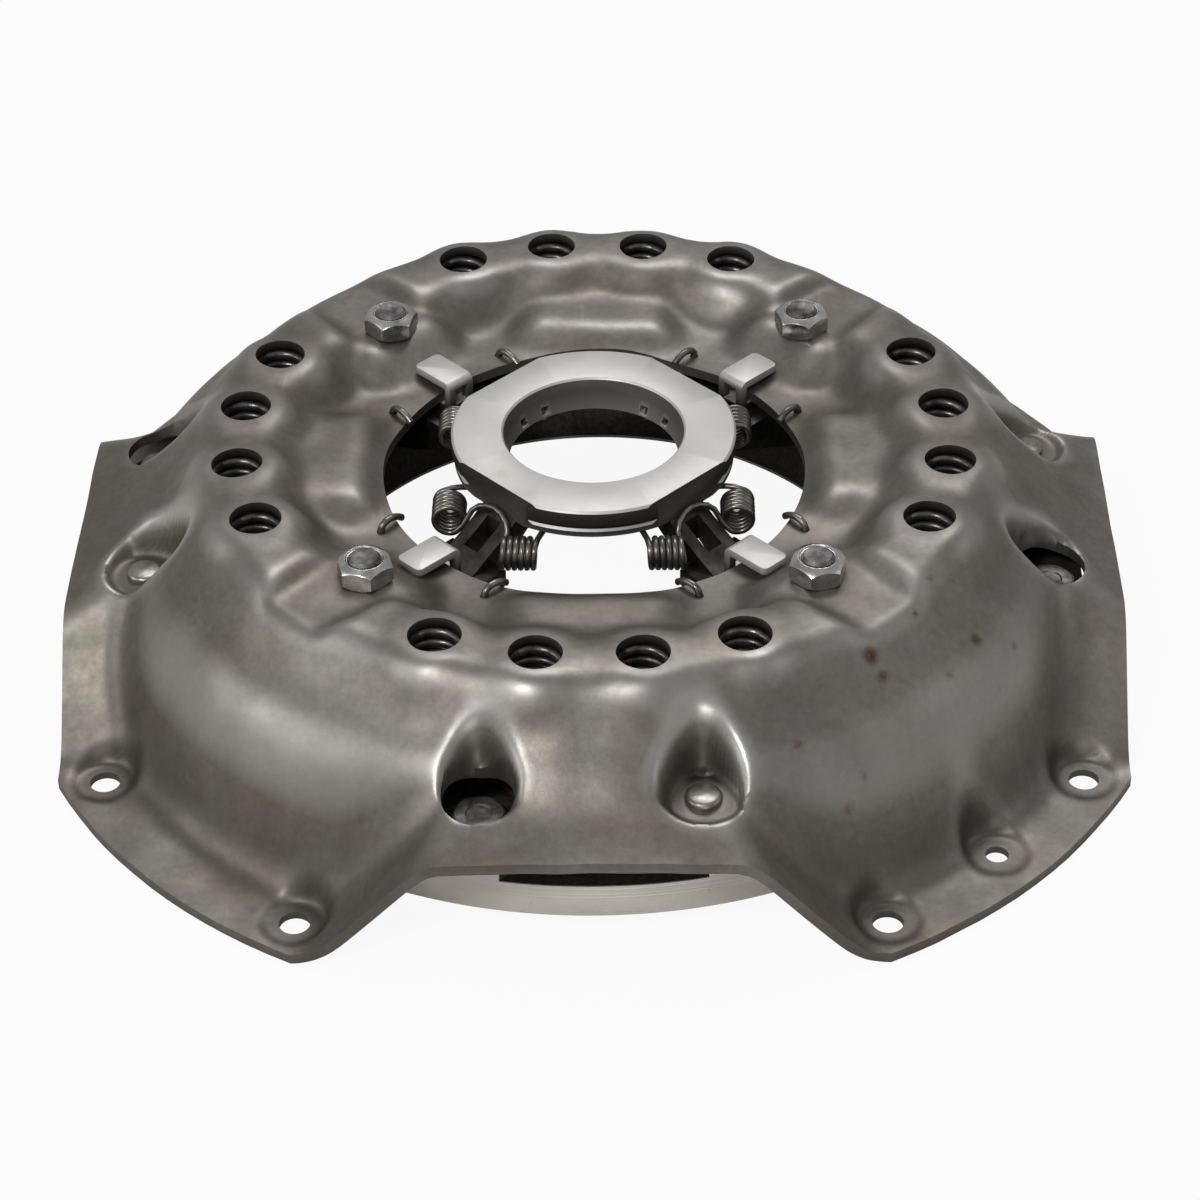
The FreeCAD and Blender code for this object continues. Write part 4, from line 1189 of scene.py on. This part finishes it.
bolt_shape = strap_bolt_blank()
bolts = [placed(bolt_shape, *side_point(*WINDOW, side)) for side in SIDES]
bolts = piece("strap_hex_bolts", together(bolts))
dressed(smooth_where_round(bolts, 32), bolt_black, "plate_body", "strap_bolts")
print("strap bolts and rivets: 4 each")

# %% [markdown]
# ## Floor and lights
#
# A wide pale floor, a main lamp at the left front, and softer ones overhead and at the sides.
# The camera sees the floor nearly white. The clutch is lit by it as by a grey one, and it keeps a faint
# shadow.

# %% Floor and lights
def studio():
    """Pale floor and sky. Both look brighter to the camera than they light."""
    half = 6000
    corners = np.array([(-half, -half, 0), (half, -half, 0), (half, half, 0), (-half, half, 0)], float)
    floor = piece("floor", (corners, [(0, 1, 2, 3)]))
    paint = bpy.data.materials.new("white_floor")
    paint.use_nodes = True
    tree = paint.node_tree
    diffuse = tree.nodes["Principled BSDF"]
    diffuse.inputs["Base Color"].default_value = (0.52, 0.51, 0.49, 1)
    diffuse.inputs["Roughness"].default_value = 0.9
    glow = tree.nodes.new("ShaderNodeEmission")
    path = tree.nodes.new("ShaderNodeLightPath")
    seen = tree.nodes.new("ShaderNodeMath")
    seen.operation = "MAXIMUM"
    share = tree.nodes.new("ShaderNodeMath")
    share.operation = "MULTIPLY"
    share.inputs[1].default_value = 0.93
    both = tree.nodes.new("ShaderNodeMixShader")
    tree.links.new(path.outputs["Is Camera Ray"], seen.inputs[0])
    tree.links.new(path.outputs["Is Transmission Ray"], seen.inputs[1])
    tree.links.new(seen.outputs[0], share.inputs[0])
    tree.links.new(share.outputs[0], both.inputs[0])
    tree.links.new(diffuse.outputs[0], both.inputs[1])
    tree.links.new(glow.outputs[0], both.inputs[2])
    tree.links.new(both.outputs[0], tree.nodes["Material Output"].inputs["Surface"])
    floor.data.materials.append(paint)
    world = bpy.data.worlds.new("studio")
    bpy.context.scene.world = world
    world.use_nodes = True
    sky = world.node_tree
    background = sky.nodes["Background"]
    rays = sky.nodes.new("ShaderNodeLightPath")
    level = sky.nodes.new("ShaderNodeMapRange")
    level.inputs["To Min"].default_value = 0.38
    level.inputs["To Max"].default_value = 1.0
    sky.links.new(rays.outputs["Is Camera Ray"], level.inputs["Value"])
    sky.links.new(level.outputs["Result"], background.inputs["Strength"])
    background.inputs["Color"].default_value = (1, 1, 1, 1)


def lamp(name, place, aim, width, height, power):
    light = bpy.data.lights.new(name, "AREA")
    light.shape, light.size, light.size_y, light.energy = "RECTANGLE", width, height, power
    thing = bpy.data.objects.new(name, light)
    thing.location = place
    thing.rotation_mode = "QUATERNION"
    thing.rotation_quaternion = (Vector(aim) - Vector(place)).to_track_quat("-Z", "Y")
    bpy.context.scene.collection.objects.link(thing)


studio()
lamp("key", (-0.6, -1.2, 1.5), (0, 0, 0.03), 0.35, 0.3, 14)
lamp("overhead", (0.1, 0.9, 1.6), (0, 0, 0), 1.0, 0.6, 12)
lamp("left_side", (-1.6, -0.5, 0.8), (0, 0, 0.05), 0.9, 0.9, 7)
lamp("right_side", (1.6, -0.2, 0.9), (0, 0, 0.05), 0.9, 0.9, 1.5)
lamp("low_front", (0.2, -1.8, 0.12), (0, 0, 0.01), 0.7, 0.2, 4.5)
bpy.context.scene.view_settings.view_transform = "Standard"
print("lamps:", len(bpy.data.lights))
